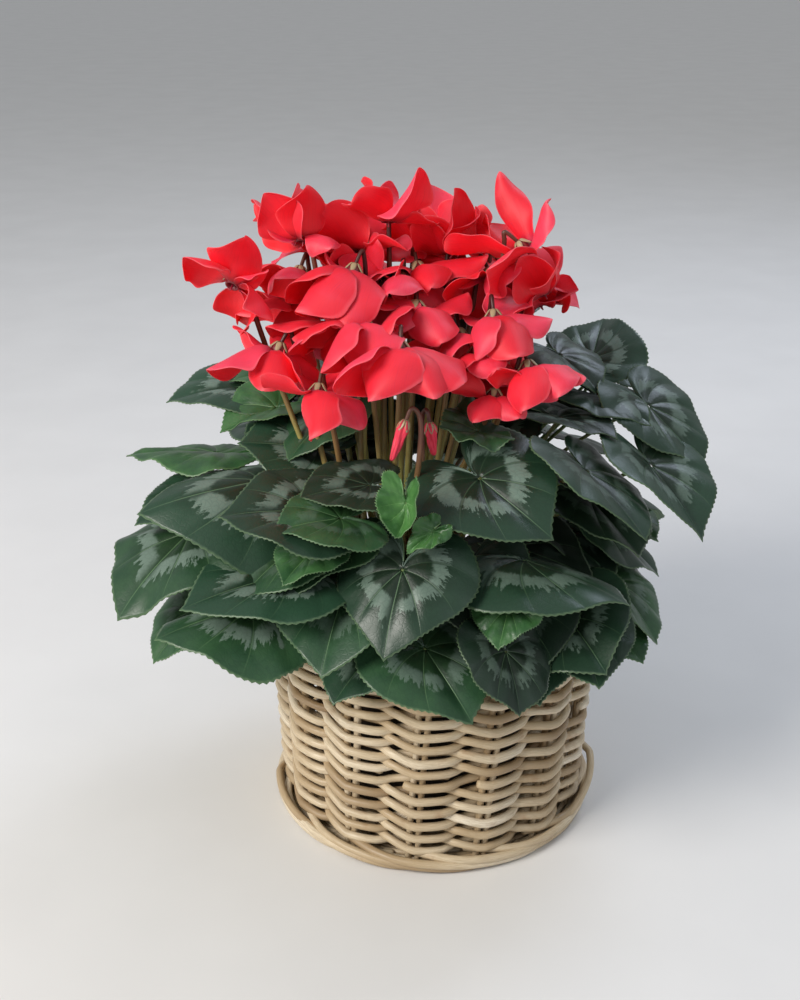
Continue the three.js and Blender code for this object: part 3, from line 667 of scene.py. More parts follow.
def add_blade(skin, leaf, luck):
    length, shape = leaf.length, USUAL_SHAPE | leaf.shape
    angle = np.radians(np.linspace(-HEART_ANGLES[-1], HEART_ANGLES[-1], 145))
    share = (0.03, 0.1, 0.18, 0.27, 0.36, 0.45, 0.54, 0.63, 0.71, 0.79, 0.86, 0.92, 0.965, 1.0)
    s, a = np.meshgrid(share, angle, indexing="ij")
    outline = HEART_REACH + (ROUND_REACH - HEART_REACH) * shape["round"]
    reach = smooth(np.degrees(np.abs(a)), HEART_ANGLES, outline)
    reach = reach * (1 + 0.02 * np.sin(5 * a + luck.uniform(0, 6))
                     + 0.03 * luck.uniform(-1, 1) * np.sign(a))
    teeth = np.where(np.arange(len(angle)) % 2 == 0, TOOTH_DEPTH, -TOOTH_DEPTH) / length
    reach = reach + np.where(s > 0.99, teeth * (np.abs(angle) < 2.75), 0)
    bow_side = luck.uniform(-0.06, 0.06)
    x = s * reach * length * np.cos(a)
    y = s * reach * length * shape["width"] * np.sin(a) + bow_side * x * x / length
    phase = [luck.uniform(0, 6.3) for _ in range(3)]
    height = (shape["fold"] * (np.sqrt(y * y + 4) - 2) - shape["dome"] * y * y / length
              + shape["arch"] * x * (1 - np.maximum(x, 0) / length))
    height += shape["wave"] * s**3 * (
        1.3 * np.sin(3 * a + phase[0]) + 0.9 * np.sin(7 * a + phase[1])
        + 0.35 * np.sin(13 * a + phase[2]))
    # Veins run out from the stalk and bend towards the tip.  They lie sunk, in lines 1.3 mm
    # wide, and the blade swells between them.
    spread = np.degrees(np.abs(a)) / (1 - 0.3 * s)
    vein = np.interp(spread, VEIN_ANGLES, range(len(VEIN_ANGLES))) * np.sign(a)
    to_vein = 0.6 * s * length * np.abs(vein - np.round(vein))
    deep = np.minimum(1, s * 4) * (1 - 0.7 * s**2) / (1 + 0.5 * np.abs(vein))
    height -= deep * np.exp(-((to_vein / 1.3) ** 2))
    height += 1.1 * np.minimum(1, s * 2) * (1 - s**4) * (1 - np.exp(-((to_vein / 5) ** 2)))
    # A young leaf is still crinkled.
    height += leaf.youth * 0.7 * np.sin(x * 0.9 + 2 * np.sin(y * 0.5)) * np.sin(
        y * 1.0 + s) * s * (1 - s**6)
    origin, axes = leaf_frame(leaf)
    grid = np.stack([x, y, height], -1) @ axes + origin
    metres = np.stack([x, y], -1) * MM + luck.uniform(0, 3)
    add_sheet(skin, grid, BLADE_THICKNESS, np.stack([vein, s], -1), metres, (0, 1, 0),
              silver=leaf.silver, youth=leaf.youth, dark=leaf.dark + luck.uniform(0, 0.25))


def add_leaf_stalk(skin, leaf, luck):
    end, axes = leaf_frame(leaf)
    seat, direction = crown_seat(end, leaf.turn, leaf.ring)
    span = np.linalg.norm(end - seat)
    arrival = unit(0.8 * axes[2] + 0.35 * axes[0])
    b, c, d = seat + direction * 0.42 * span, end - arrival * 0.3 * span, end - axes[2] * 0.9
    t = np.linspace(0, 1, 26)[:, None]
    path = (1 - t)**3 * seat + 3 * (1 - t)**2 * t * b + 3 * (1 - t) * t**2 * c + t**3 * d
    add_rod(skin, path, np.linspace(1.7, 1.25, 26), 8, number=2,
            start=luck.uniform(0, 9), dark=luck.uniform(0, 1))


def add_vein_gap(add, vein):
    """How far a point is from the nearest vein: 0 on it, 0.5 midway between two."""
    nearest = add("Math", vein, operation="ROUND")
    off = add("Math", vein, nearest, operation="SUBTRACT")
    return add("Math", off, operation="ABSOLUTE")


# The upper face of a grown leaf: blue-green and leathery, with a waxy shine, a few sunken paler
# veins and a fine net between them.  The band is air under the skin, and looks silver.
def make_leaf_face():
    face, add, shader = start_material("cyclamen_leaf_face")
    soft = dict(interpolation_type="SMOOTHSTEP")
    pattern = add("SeparateXYZ", add("UVMap", uv_map="first"))
    vein, share = pattern.outputs["X"], pattern.outputs["Y"]
    flat = add("UVMap", uv_map="second")
    silver, youth, dark = (add("Attribute", attribute_name=mark).outputs["Fac"]
                           for mark in ("silver", "youth", "dark"))
    off = add_vein_gap(add, vein)
    flame_place = add("CombineXYZ", *(
        add("Math", part, size, operation="MULTIPLY")
        for part, size in ((vein, 7.0), (share, 5.0), (dark, 40.0))))
    flames = add("TexNoise", flame_place, Scale=1.0, Detail=5.0, Roughness=0.68)
    clouds = add("TexNoise", flat, Scale=60.0, Detail=4.0, Roughness=0.6)
    # where share and the flames' push together pass the outer edge, the band ends
    push = add("Math", flames, -0.62, 0.31, operation="MULTIPLY_ADD")
    push = add("Math", clouds, -0.30, push, operation="MULTIPLY_ADD")
    outer_place = add("Math", share, push, operation="ADD")
    outer = add("MapRange", outer_place, 0.45, 0.49, 1, 0, **soft)
    inner_place = add("Math", clouds, 0.30, share, operation="MULTIPLY_ADD")
    inner_place = add("Math", flames, 0.16, inner_place, operation="MULTIPLY_ADD")
    inner = add("MapRange", inner_place, 0.60, 0.68, **soft)
    from_midrib = add("Math", vein, operation="ABSOLUTE")
    beside_midrib = add("Math", clouds, 0.5, from_midrib, operation="MULTIPLY_ADD")
    beside_midrib = add("MapRange", beside_midrib, 0.28, 0.62, 0.1, **soft)
    beside_vein = add("MapRange", off, 0.03, 0.1, 0.35, **soft)
    band = add("Math", outer, inner, operation="MULTIPLY")
    band = add("Math", band, beside_midrib, operation="MULTIPLY")
    band = add("Math", band, beside_vein, operation="MULTIPLY")
    band = add("Math", band, silver, operation="MULTIPLY", use_clamp=True)
    ground = add("ValToRGB", inner_place, stops=[
        (0.30, "#1f3323"), (0.55, "#203524"), (0.80, "#223d2a"), (1.0, "#2b4a36")])
    # dark: partly a leaf's own deeper green, partly painted shade on leaves lying in shadow
    shade = add("Mix", Factor=dark, A=ground, B="#18211a")
    fresh = add("ValToRGB", clouds, stops=[(0.35, "#305c2e"), (0.65, "#548844")])
    aged = add("Mix", Factor=youth, A=shade, B=fresh)
    silvered = add("Mix", Factor=band, A=aged, B="#6b7f72")
    # vein lines 0.8 mm wide near the stalk, thinner outwards
    vein_gap = add("Math", off, share, operation="MULTIPLY")
    main_line = add("MapRange", vein_gap, 0.004, 0.016, 1, 0, **soft)
    worn = add("MapRange", share, 0.55, 0.98, 1, 0.15)
    side_vein = add("MapRange", from_midrib, 0.5, 2.5, 1, 0.15)
    worn = add("Math", worn, side_vein, operation="MULTIPLY")
    main_line = add("Math", main_line, worn, operation="MULTIPLY")
    # a net of 3 mm cells, drawn coarser than the real one of about 1 mm, so that it shows
    drawn = add("TexNoise", flat, Scale=130.0, Detail=2.0).outputs["Color"]
    crooked = add("Mix", Factor=0.0045, A=flat, B=drawn, data_type="VECTOR")
    net = add("TexVoronoi", crooked, Scale=300.0, feature="DISTANCE_TO_EDGE")
    net_line = add("MapRange", net, 0, 0.16, 1, 0, **soft)
    net_share = add("MapRange", youth, 0, 1, 0.13, 0.04)
    net_share = add("Math", net_line, net_share, operation="MULTIPLY")
    netted = add("Mix", Factor=net_share, A=silvered, B="#18271d")
    line_colour = add("Mix", Factor=youth, A="#6b8a66", B="#93c474")
    line_share = add("Math", main_line, 0.65, operation="MULTIPLY")
    veined = add("Mix", Factor=line_share, A=netted, B=line_colour)
    edge_share = add("MapRange", share, 0.97, 1, 0, 0.4)
    edged = add("Mix", Factor=edge_share, A=veined, B="#7f9a6e")
    polish = add("MapRange", clouds, 0.3, 0.7, 0.30, 0.44)
    sunk = add("Math", net_line, -0.16, clouds, operation="MULTIPLY_ADD")
    sunk = add("Math", main_line, -1.2, sunk, operation="MULTIPLY_ADD")
    relief = add("Bump", Height=sunk, Strength=0.4, Distance=0.0005)
    set_sockets(shader, {
        "Base Color": edged, "Roughness": polish, "Normal": relief, "IOR": 1.45})
    return face


# The under face: pale grey-green, duller, with the veins standing out.
def make_leaf_back():
    back, add, shader = start_material("cyclamen_leaf_back")
    pattern = add("SeparateXYZ", add("UVMap", uv_map="first"))
    off = add_vein_gap(add, pattern.outputs["X"])
    gap = add("Math", off, pattern.outputs["Y"], operation="MULTIPLY")
    line = add("MapRange", gap, 0.01, 0.03, 1, 0)
    clouds = add("TexNoise", add("UVMap", uv_map="second"), Scale=90.0, Detail=4.0)
    tone = add("ValToRGB", clouds, stops=[(0.35, "#40603e"), (0.65, "#5b7c52")])
    veined = add("Mix", Factor=line, A=tone, B="#8aa070")
    relief = add("Bump", Height=line, Strength=0.8, Distance=0.0007)
    set_sockets(shader, {"Base Color": veined, "Normal": relief, "Roughness": 0.55})
    return back


# Fleshy skin, smooth and slightly juicy, whose colour runs through the stops from the foot to
# the end: brownish streaks and blotches, and some stalks browner than others.
def make_stalk_skin(name, stops):
    stalk, add, shader = start_material(name)
    shares = add("SeparateXYZ", add("UVMap", uv_map="second"))
    metres = add("UVMap", uv_map="first")
    lengthwise = add("Mapping", metres, Scale=(1, 0.08, 1))
    streaks = add("TexNoise", lengthwise, Scale=700.0, Detail=3.0)
    blotch = add("TexNoise", metres, Scale=40.0, Detail=3.0)
    along = add("Math", blotch, 0.16, shares.outputs["Y"], operation="MULTIPLY_ADD")
    tone = add("ValToRGB", along, stops=stops)
    streak_share = add("MapRange", streaks, 0.45, 0.75, 0, 0.35)
    streaked = add("Mix", Factor=streak_share, A=tone, B="#8c5a3c")
    own = add("Attribute", attribute_name="dark").outputs["Fac"]
    own_share = add("MapRange", own, 0.45, 1, 0, 0.5)
    browned = add("Mix", Factor=own_share, A=streaked, B="#74503a")
    set_sockets(shader, {"Base Color": browned, "Roughness": 0.38})
    return stalk


leaf_face, leaf_back = make_leaf_face(), make_leaf_back()
leaf_stalk_skin = make_stalk_skin("leaf_stalk_skin", [
    (0.05, "#8d6a4c"), (0.4, "#7d6a42"), (0.75, "#6b7a3f"), (1.0, "#5f7a40")])

for k, row in enumerate(LEAVES + MORE_LEAVES):
    leaf, luck, skin = Leaf(*row), random.Random(100 + k), Skin("silver", "youth", "dark")
    add_blade(skin, leaf, luck)
    add_leaf_stalk(skin, leaf, luck)
    skin.piece(f"cyclamen_leaf_{k + 1:02d}", [leaf_face, leaf_back, leaf_stalk_skin],
               "leaf_green", f"leaf_{k + 1:02d}" if k < len(LEAVES) else None)

# ---- flowers --------------------------------------------------------------------
# Each flower nods from a hooked stalk.  Its five soft petals turn back from the throat and twist
# a little, all the same way; in old flowers they droop instead, and show their paler backs.

UP = np.array((0.0, 0.0, 1.0))
HOOK_REACH, HOOK_HEIGHT, STALK_FOOT = 9, 16, 30
PETAL_SHARE = 0.84  # width of a petal, of its length
# Half the width of a petal along it, for a blunt and a pointed one.
PETAL_PLACES = (0, 0.08, 0.2, 0.4, 0.6, 0.8, 0.92, 0.98, 1.0)
BLUNT_HALVES = np.array((0.13, 0.22, 0.36, 0.48, 0.5, 0.43, 0.28, 0.13, 0.03))
POINTED_HALVES = np.array((0.13, 0.24, 0.39, 0.5, 0.46, 0.29, 0.14, 0.06, 0.02))
# The short tube in the throat, (radius, height) from inside to outside and round its back.
TUBE_PROFILE = [(0, 6), (2.2, 5), (3, 2), (3.6, 0.2), (4.6, 0.4), (5.1, 2.4), (4.7, 5),
                (3.4, 7.4), (1.8, 8.8), (0, 9)]

# at: middle of the throat.  aim and nod: heading to which the throat looks, and how far from
# straight down.  ring and foot: the stalk's place on the crown.  petals: each one's place round
# the throat, how far it leans out (over 90 it hangs), its length, and where they stand out, its
# breadth, the curl of its tip and its twist.  A flower without them has five like ones: open is
# how far they lean, turn the place of the first, size their length.
Flower = namedtuple("Flower", "at aim nod ring foot petals open turn size", defaults=(0, 10, 40))
FLOWERS = [
    ((-130, -19, 381), -24, 50, 3, 5,
     ((-148, 92, 34, 1.15), (-84, 64, 38, 1.1), (-44, 60, 26, 0.9, 60), (4, 106, 34),
      (68, 98, 38))),
    ((-87, 17, 401), -13, 29, 1, 9,
     ((-140, 45, 38, 1.1), (148, 48, 46, 0.9), (76, 34, 48), (-44, 98, 28, 0.9, 50),
      (-92, 30, 36, 1.1))),
    ((-58, 48, 378), 145, 20, 2, 6,
     ((52, 28, 42), (108, 40, 46, 0.95), (-108, 44, 34), (164, 36, 40), (-40, 40, 39))),
    ((-32, 29, 411), 0, 20, 1, 4,
     ((-132, 64, 33, 1.1), (132, 26, 40, 0.6), (-68, 56, 48, 0.9, 10, 60), (76, 40, 33),
      (24, 86, 34))),
    ((14, 44, 388), 26, 23, 2, 17,
     ((-84, 28, 44, 0.8), (-164, 36, 36, 0.8), (140, 56, 36), (76, 72, 34), (8, 30, 34))),
    ((57, 14, 396), 80, 42, 2, -14,
     ((52, 25, 56, 0.45, 30), (-36, 56, 34, 1.1), (172, 34, 50, 0.7), (-124, 74, 46),
      (112, 36, 42, 0.8))),
    ((71, 17, 366), 67, 29, 4, -4,
     ((-108, 30, 38), (-56, 50, 36), (76, 110, 36), (124, 50, 42), (-172, 135, 36))),
    ((-14, -12, 362), 0, 22, 1, -1,
     ((108, 36, 40), (164, 92, 48), (-140, 128, 48), (28, 64, 36), (-60, 138, 38))),
    ((-55, 0, 383), -42, 20, 2, 9,
     ((-176, 118, 50), (-136, 134, 54), (-88, 140, 52), (76, 50, 36), (124, 72, 36))),
    ((-102, -30, 340), -57, 20, 3, 6,
     ((-164, 126, 46, 1.1), (-84, 120, 40), (132, 80, 36, 0.9), (-4, 106, 34, 0.9), (68, 58, 32))),
    ((-75, -62, 323), -14, 25, 3, -10,
     ((-148, 88, 40, 0.7, -30, 20), (-92, 140, 46, 0.75, 10, 75), (-28, 122, 36, 0.8),
      (140, 40, 38), (40, 50, 34))),
    ((-24, -55, 348), 0, 20, 2, -14,
     ((-116, 136, 48, 1.1), (-168, 124, 48), (-62, 130, 46, 1.1), (-20, 114, 46), (80, 90, 38))),
    ((34, -48, 315), -16, 22, 2, -14,
     ((-116, 122, 30), (-172, 70, 25, 0.9, 50), (124, 45, 28), (-52, 106, 28), (44, 45, 28))),
    ((56, -46, 333), 24, 24, 3, 8,
     ((-20, 112, 35, 0.7, -20), (-104, 136, 40, 0.85), (-150, 78, 28, 0.8), (84, 68, 34),
      (-62, 128, 35))),
    ((35, -20, 358), 8, 22, 2, -8,
     ((-64, 134, 44), (108, 76, 40), (-132, 138, 38), (60, 50, 34), (-8, 92, 34))),
    ((-48, -32, 358), -11, 16, 1, -5,
     ((-180, 98, 44), (-136, 138, 46), (-76, 132, 44), (48, 88, 36), (108, 60, 36))),
]
# Flowers behind and between those.
MORE_FLOWERS = [
    ((13, 55, 384), 20, 25, 2, -8, None, 60, 10, 36),
    ((-50, 45, 388), -20, 22, 2, -12, None, 60, 20),
    ((-60, -5, 347), -30, 20, 2, 6,
     ((-168, 100, 50, 0.9), (-140, 124, 48, 0.95), (-88, 140, 48, 0.9), (60, 90, 34),
      (-20, 120, 36))),
    ((14, -10, 343), 10, 24, 2, 10, None, 114, 44, 34),
    ((-37, 10, 362), -4, 18, 1, 20, None, 120, 60),
    ((-92, 30, 374), -30, 24, 2, -6, None, 100, 30),
    ((72, 45, 351), 60, 26, 3, 6, None, 62, 34, 32),
    ((24, -30, 337), 6, 20, 2, 16, None, 120, 8, 30),
    ((-97, 22, 356), -50, 26, 3, -6, None, 118, 15),
    ((-24, 20, 372), -10, 22, 1, -16, None, 112, 40, 42),
    ((-12, 34, 376), 20, 24, 1, 14, None, 98, -10, 40),
    ((36, 26, 374), 40, 26, 2, 12, None, 106, 5, 38),
    ((-84, 82, 388), -150, 24, 2, 10, None, 60, 30),
    ((-10, 88, 380), 175, 26, 2, -10, None, 55, 12),
    ((46, 84, 372), 140, 24, 3, 10, None, 108, 20),
    ((-48, 78, 362), -160, 22, 2, -12, None, 112, 50),
    ((20, 62, 366), 150, 22, 2, -14, None, 116, 25, 34),
]


def flower_frame(flower):
    """Middle of the throat, and the flower's axes; the last runs from the throat to the stalk."""
    nod = math.radians(flower.nod)
    axis = Vector(compass(flower.aim, -math.sin(nod), math.cos(nod)))
    turned = Vector((0, 0, 1)).rotation_difference(axis).to_matrix()
    return np.array(flower.at, float), np.array(turned).T


def petals_of(flower, luck):
    """Place, lean, length, breadth, curl and twist of each of the flower's petals."""
    given = flower.petals or [
        (flower.turn + 72 * k + luck.uniform(-12, 12), flower.open + luck.uniform(-18, 18),
         flower.size * luck.uniform(1, 1.15)) for k in range(5)]
    for petal in given:
        usual = luck.uniform(0.85, 1.15), luck.uniform(-10, 60), luck.uniform(15, 75)
        yield petal + usual[len(petal) - 3:]


def spoke(place):
    """The directions out from a flower's axis and to the side, at a place round it."""
    turn = math.radians(place)
    return (np.array((math.cos(turn), math.sin(turn), 0)),
            np.array((-math.sin(turn), math.cos(turn), 0)))


def add_petal(skin, flower, place, lean, size, broad, curl, twist, luck):
    out, side = spoke(place)
    hangs = lean >= 90
    if hangs:
        cup = luck.uniform(-1.0, -0.45)
    else:
        cup = luck.uniform(0.2, 0.8) * luck.choice((-1, 1, 1))
    t = np.sin(np.linspace(0, 1, 26) * math.pi / 2) ** 1.15
    a = np.sin(np.linspace(-1, 1, 17) * math.pi / 2)
    outline = BLUNT_HALVES + (POINTED_HALVES - BLUNT_HALVES) * luck.uniform(-0.1, 0.9)
    halves = smooth(t, PETAL_PLACES, outline) * size * PETAL_SHARE * broad
    # A raised petal turns sharply back from the throat; a tired one arches over and hangs.
    if hangs:
        angle = lean + 14 + (28 - lean) * np.exp(-t / 0.2)
    else:
        angle = lean + (150 - lean) * np.exp(-t / 0.055)
    angle = np.radians(angle + curl * np.clip(t - 0.3, 0, 1) ** 1.3)
    rise = out * np.sin(angle)[:, None] + UP * np.cos(angle)[:, None]
    facing = out * np.cos(angle)[:, None] - UP * np.sin(angle)[:, None]
    steps = np.diff(t, prepend=0)[:, None]
    middle = np.cumsum(rise * steps * size, axis=0) + out * 3.9 + UP * (2.2 if hangs else 1.2)
    turn = np.radians(twist * t)[:, None]
    chord = side * np.cos(turn) + np.cross(rise, side) * np.sin(turn)
    normal = facing * np.cos(turn) + np.cross(rise, facing) * np.sin(turn)
    bend = luck.uniform(-0.13, 0.13) * size
    ripple = [luck.uniform(0, 6.3) for _ in range(3)]
    # It is cupped across, with a groove along its middle, and its edges ripple.
    lift = np.stack([
        -cup * halves * abs(v) ** 2 * (0.5 + 0.5 * t) - 0.5 * np.exp(-((v / 0.1) ** 2)) * (1 - t)
        + (0.075 * size * abs(v) ** 2.5 * np.sin(6.5 * t + ripple[0 if v > 0 else 1])
           + 0.03 * size * abs(v) ** 2 * np.sin(14 * t + ripple[2]))
        * np.sin(math.pi * t) ** 0.5 for v in a], axis=1)
    across = np.sin(0.9 * a) / math.sin(0.9)
    grid = (middle + t[:, None] ** 2 * bend * chord)[:, None] + chord[:, None] * (
        across[None, :] * halves[:, None])[..., None]
    grid = grid + normal[:, None] * lift[..., None]
    origin, axes = flower_frame(flower)
    shares = np.stack(np.meshgrid(a, t), -1)
    metres = np.stack([a[None, :] * halves[:, None],
                       np.broadcast_to(t[:, None] * size, lift.shape)], -1) * MM
    metres = metres + luck.uniform(0, 3)
    add_sheet(skin, grid @ axes + origin, 0.5 - 0.25 * t[:, None], shares, metres, (1, 0, 1),
              tone=luck.uniform(0, 0.7))


def add_sepal(skin, origin, axes, place, reach, fall, halves, cup, thickness, number, tone):
    """reach, fall and halves: distance from the axis, height and half width along the sepal."""
    out, side = spoke(place)
    a = np.linspace(-1, 1, 5)
    grid = (out * reach[:, None] + UP * fall[:, None])[:, None] + side * (
        a[None, :] * halves[:, None])[..., None]
    grid = grid - out * cup * (a**2)[None, :, None]
    shares = np.stack(np.meshgrid(a, np.linspace(0, 1, len(reach))), -1)
    add_sheet(skin, grid @ axes + origin, thickness, shares, shares * 0.003, (number,) * 3,
              tone=tone)


def add_flower_head(skin, flower, luck):
    origin, axes = flower_frame(flower)
    for petal in petals_of(flower, luck):
        add_petal(skin, flower, *petal, luck)
    first = len(skin.points)
    add_turned(skin, TUBE_PROFILE, 20, number=2)
    skin.points[first] = skin.points[first] @ axes + origin
    t = np.linspace(0, 1, 8)
    halves = 1.9 * np.sin(math.pi * (0.12 + 0.84 * t)) ** 0.8
    for k in range(5):
        reach = 2.2 + 4.0 * t + luck.uniform(0.6, 1.6) * t**2
        add_sepal(skin, origin, axes, flower.turn + 36 + 72 * k, reach, 8.6 - 6.4 * t**1.5,
                  halves, 0.5, 0.45, 3, luck.uniform(0, 1))
    style = np.linspace(origin + axes[2] * 5, origin - axes[2] * 2.5, 6)
    add_rod(skin, style, 0.55, 6, number=2)


def add_flower_stalk(name, stations, luck):
    """A round fleshy stalk through the stations, thinner towards its hook."""
    stations = np.array(stations, float)
    chords = np.sqrt(np.linalg.norm(np.diff(stations, axis=0), axis=1))
    chords = np.concatenate([[0], np.cumsum(chords)])
    places = np.linspace(0, chords[-1], 60)
    path = np.stack([smooth(places, chords, stations[:, j]) for j in range(3)], -1)
    skin = Skin("dark")
    add_rod(skin, path, 1.95 - 0.75 * np.linspace(0, 1, 60) ** 3, 9,
            start=luck.uniform(0, 9), dark=luck.uniform(0, 1))
    skin.piece(name, [flower_stalk_skin], "leaf_green")


# A petal's inner face: scarlet, soft as velvet, with fine veins along it, a darker foot and a thin
# paler edge, partly its own margin and partly a painted highlight.  Its cells are domed, so it
# shines faintly where it turns away.
def make_petal(name, ground, foot_colour, edge_and_highlight_colour, pale):
    petal, add, shader = start_material(name)
    shares = add("SeparateXYZ", add("UVMap", uv_map="first"))
    metres = add("UVMap", uv_map="second")
    tone = add("Attribute", attribute_name="tone").outputs["Fac"]
    clouds = add("TexNoise", metres, Scale=70.0, Detail=3.0)
    lengthwise = add("Mapping", metres, Scale=(1, 0.05, 1))
    veins = add("TexNoise", lengthwise, Scale=1300.0, Detail=2.0)
    mixed = add("Math", clouds, 0.6, tone, operation="MULTIPLY_ADD")
    base = add("ValToRGB", mixed, stops=ground)
    vein_share = add("MapRange", veins, 0.5, 0.75, 0, 0.14)
    veined = add("Mix", Factor=vein_share, A=base, B=foot_colour)
    foot_share = add("MapRange", shares.outputs["Y"], 0.04, 0.24, 0.9, 0,
                     interpolation_type="SMOOTHSTEP")
    footed = add("Mix", Factor=foot_share, A=veined, B=foot_colour)
    # Edges and tip are paled: partly a paler margin, partly a painted highlight.
    off = add("Math", shares.outputs["X"], operation="ABSOLUTE")
    edge_place = add("Math", off, shares.outputs["Y"], operation="MAXIMUM")
    edge_share = add("MapRange", edge_place, 0.9, 1, 0, pale)
    edged = add("Mix", Factor=edge_share, A=footed, B=edge_and_highlight_colour)
    relief = add("Bump", Height=veins, Strength=0.25, Distance=0.0003)
    set_sockets(shader, {
        "Base Color": edged, "Normal": relief, "Roughness": 0.55, "Sheen Weight": 0.12,
        "Sheen Roughness": 0.4, "Sheen Tint": "#ff9aa0", "Subsurface Weight": 0.35,
        "Subsurface Radius": (1.0, 0.25, 0.2), "Subsurface Scale": 0.003})
    return petal


petal_face = make_petal("petal_scarlet_face", [
    (0.2, "#e60c20"), (0.6, "#f5152a"), (1.0, "#fb2438")], "#8d0618", "#ff5a64", 0.45)
petal_back = make_petal("petal_coral_back", [
    (0.2, "#ec162a"), (0.6, "#f4243a"), (1.0, "#f43c58")], "#b01c48", "#ff7480", 0.5)
throat_skin = make_stalk_skin("throat_maroon", [
    (0.0, "#6d0f22"), (0.6, "#8f1430"), (1.0, "#a02038")])
sepal_skin = make_stalk_skin("sepal_green", [
    (0.0, "#a89a76"), (0.5, "#b9b08a"), (1.0, "#c9c09c")])
flower_stalk_skin = make_stalk_skin("flower_stalk_skin", [
    (0.08, "#ab9369"), (0.38, "#b2b463"), (0.7, "#977c48"), (0.9, "#5c2622"), (1.02, "#3d1216")])


def add_flower(number, flower, luck, node):
    skin = Skin("tone")
    add_flower_head(skin, flower, luck)
    skin.piece(f"cyclamen_flower_{number:02d}",
               [petal_face, petal_back, throat_skin, sepal_skin], "petal_scarlet", node)
    throat, axes = flower_frame(flower)
    seat, direction = crown_seat(throat, flower.foot, flower.ring)
    behind = -compass(flower.aim, 1, 0)
    rise = unit(throat - seat)
    add_flower_stalk(f"flower_stalk_{number:02d}", [
        seat, seat + direction * STALK_FOOT,
        throat + behind * HOOK_REACH - rise * 32, throat + behind * HOOK_REACH + axes[2] * 8,
        throat + behind * 4 + axes[2] * HOOK_HEIGHT, throat + axes[2] * 7], luck)


for k, row in enumerate(FLOWERS + MORE_FLOWERS):
    add_flower(k + 1, Flower(*row), random.Random(300 + k),
               f"flower_{k + 1:02d}" if k < len(FLOWERS) else None)

# ---- spent flowers --------------------------------------------------------------
# When a flower is over, its petals close again and wring into a limp spindle under the hook.

SPENT_FLOWERS = [
    dict(at=(-21, -79, 314), aim=-63, lean=20, length=26, ring=4, foot=-10),
    dict(at=(-6, -64, 307), aim=30, lean=11, length=21, ring=5, foot=1),
]


def add_spindle(skin, top, axes, length):
    t = np.linspace(0, 1, 26)
    angle = np.linspace(0, 2 * math.pi, 31)
    radius = smooth(t, (0, 0.1, 0.45, 0.8, 0.95, 1), (1.8, 2.9, 2.7, 1.9, 1.2, 0.6))
    ridge = (1 + 0.2 * np.sin(5 * angle[None, :] + 7 * t[:, None])
             + 0.08 * np.sin(11 * angle[None, :] - 5 * t[:, None]))
    bend = 1.6 * t**2
    grid = np.stack([
        radius[:, None] * ridge * np.cos(angle) + bend[:, None],
        radius[:, None] * ridge * np.sin(angle),
        np.broadcast_to(length * t[:, None], ridge.shape)], -1)
    shares = np.stack(np.meshgrid(angle / math.pi - 1, t * 0.85 + 0.1), -1)
    add_sheet(skin, grid @ axes + top, 0.5, shares * (0.5, 1), shares * 0.01, (0, 0, 0), tone=0.6)


def add_spent_flower(number, row, luck):
    top = np.array(row["at"], float)
    lean = math.radians(row["lean"])
    down = compass(row["aim"], math.sin(lean), -math.cos(lean))
    axes = np.array(Vector((0, 0, 1)).rotation_difference(Vector(down)).to_matrix()).T
    skin = Skin("tone")
    add_spindle(skin, top, axes, row["length"])
    s = np.linspace(0, 1, 7)
    for k in range(5):
        add_sepal(skin, top, axes, 72 * k, 1.2 + 2.9 * s**0.6, -0.5 + 7 * s,
                  1.7 * np.sin(math.pi * (0.15 + 0.8 * s)), 0, 0.5, 1, 0.5)
    skin.piece(f"wilted_flower_{number:02d}", [petal_back, sepal_skin], "petal_scarlet",
               f"spent_flower_{number:02d}")
    seat, direction = crown_seat(top, row["foot"], row["ring"])
    behind = -compass(row["aim"], 1, 0)
    add_flower_stalk(f"wilted_stalk_{number:02d}", [
        seat, seat + direction * STALK_FOOT,
        top + behind * HOOK_REACH - UP * 30, top + behind * HOOK_REACH + UP * 2,
        top + behind * 4 + UP * 7, top + down], luck)


for k, row in enumerate(SPENT_FLOWERS):
    add_spent_flower(k + 1, row, random.Random(500 + k))

# ---- floor, light and camera ----------------------------------------------------
# A plain pale floor, a large soft light from the upper left, a weaker one from the right, and a
# cool one from behind that gives the leaves their shine.  Here sizes are in metres.

FLOOR_RADIUS = 40
FLOOR_SIDES = 64


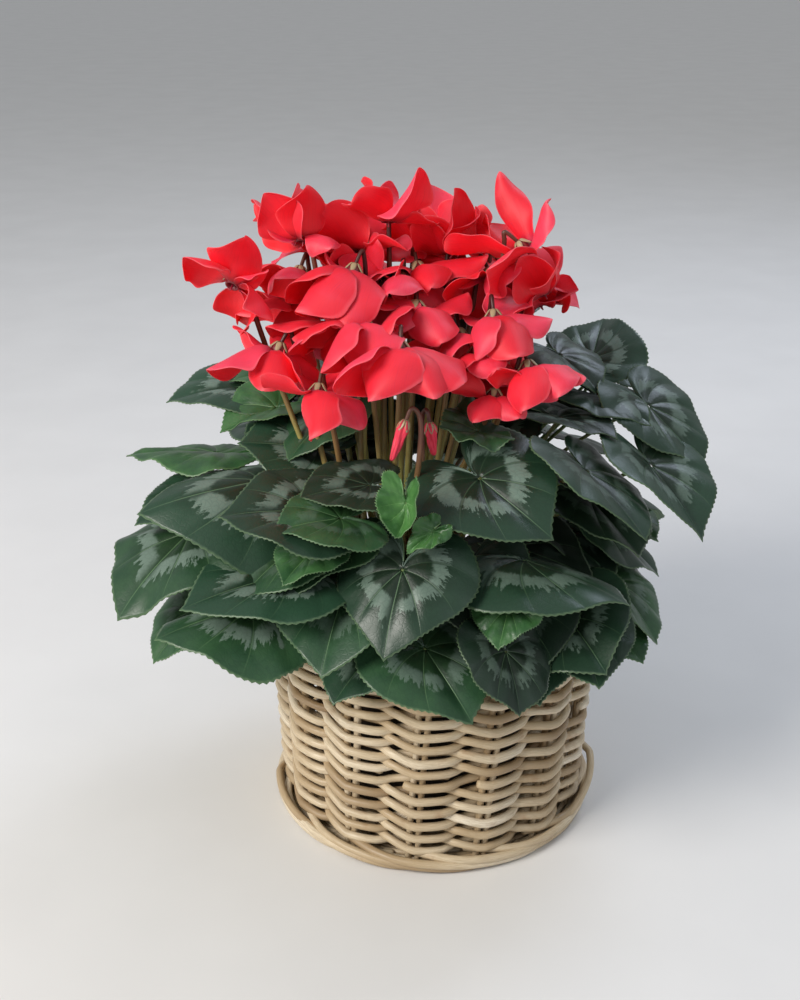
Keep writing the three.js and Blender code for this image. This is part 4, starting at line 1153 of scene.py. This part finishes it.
def add_floor():
    mesh = bpy.data.meshes.new("studio_floor")
    turns = [2 * math.pi * k / FLOOR_SIDES for k in range(FLOOR_SIDES)]
    ring = [(FLOOR_RADIUS * math.cos(a), FLOOR_RADIUS * math.sin(a), 0) for a in turns]
    mesh.from_pydata(ring, [], [list(range(FLOOR_SIDES))])
    floor = bpy.data.objects.new("studio_floor", mesh)
    bpy.context.scene.collection.objects.link(floor)
    # Matt floor paint: nearly even, with faint wide clouds.
    paint, add, shader = start_material("matt_floor_paint")
    cloud = add("TexNoise", add("TexCoord").outputs["Object"], Scale=9.0, Detail=3.0)
    tone = add("ValToRGB", cloud, stops=[(0.3, "#e2e1df"), (0.7, "#e6e5e3")])
    set_sockets(shader, {"Base Color": tone, "Roughness": 0.8})
    mesh.materials.append(paint)
    floor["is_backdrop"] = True


def add_light(name, place, target, size, power, colour):
    lamp = bpy.data.lights.new(name, "AREA")
    lamp.shape, lamp.size, lamp.energy, lamp.color = "DISK", size, power, linear(colour)[:3]
    holder = bpy.data.objects.new(name, lamp)
    holder.location = place
    holder.rotation_euler = (Vector(target) - Vector(place)).to_track_quat("-Z", "Y").to_euler()
    bpy.context.scene.collection.objects.link(holder)


add_floor()
add_light("key_softbox", (-1.5, -1.15, 1.4), (0, 0, 0.2), 1.1, 44, "#fffaf4")
add_light("fill_softbox", (1.5, -1.2, 1.5), (0, 0, 0.2), 1.2, 3.5, "#eef4ff")
add_light("back_softbox", (0.9, 1.1, 1.9), (0, 0, 0.25), 1.0, 14, "#dfeaff")
world = bpy.data.worlds.new("studio_air")
world.use_nodes = True
set_sockets(world.node_tree.nodes["Background"], {"Color": "#dfe2e6", "Strength": 0.54})
bpy.context.scene.world = world
bpy.context.scene.view_settings.view_transform = "Standard"

CAMERA_PLACE = (-0.0245, -0.8188, 0.5857)
CAMERA_PITCH = 23.67  # degrees down
camera = bpy.data.objects.new("photo_camera", bpy.data.cameras.new("photo_camera"))
camera.data.lens = 46.8
camera.data.clip_end = 200
camera.location = CAMERA_PLACE
camera.rotation_euler = (math.radians(90 - CAMERA_PITCH), 0, 0)
bpy.context.scene.collection.objects.link(camera)
bpy.context.scene.camera = camera

boxes = {"cad": cad_box, "visual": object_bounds()}
{name: [[float(v) for v in corner] for corner in box] for name, box in boxes.items()}
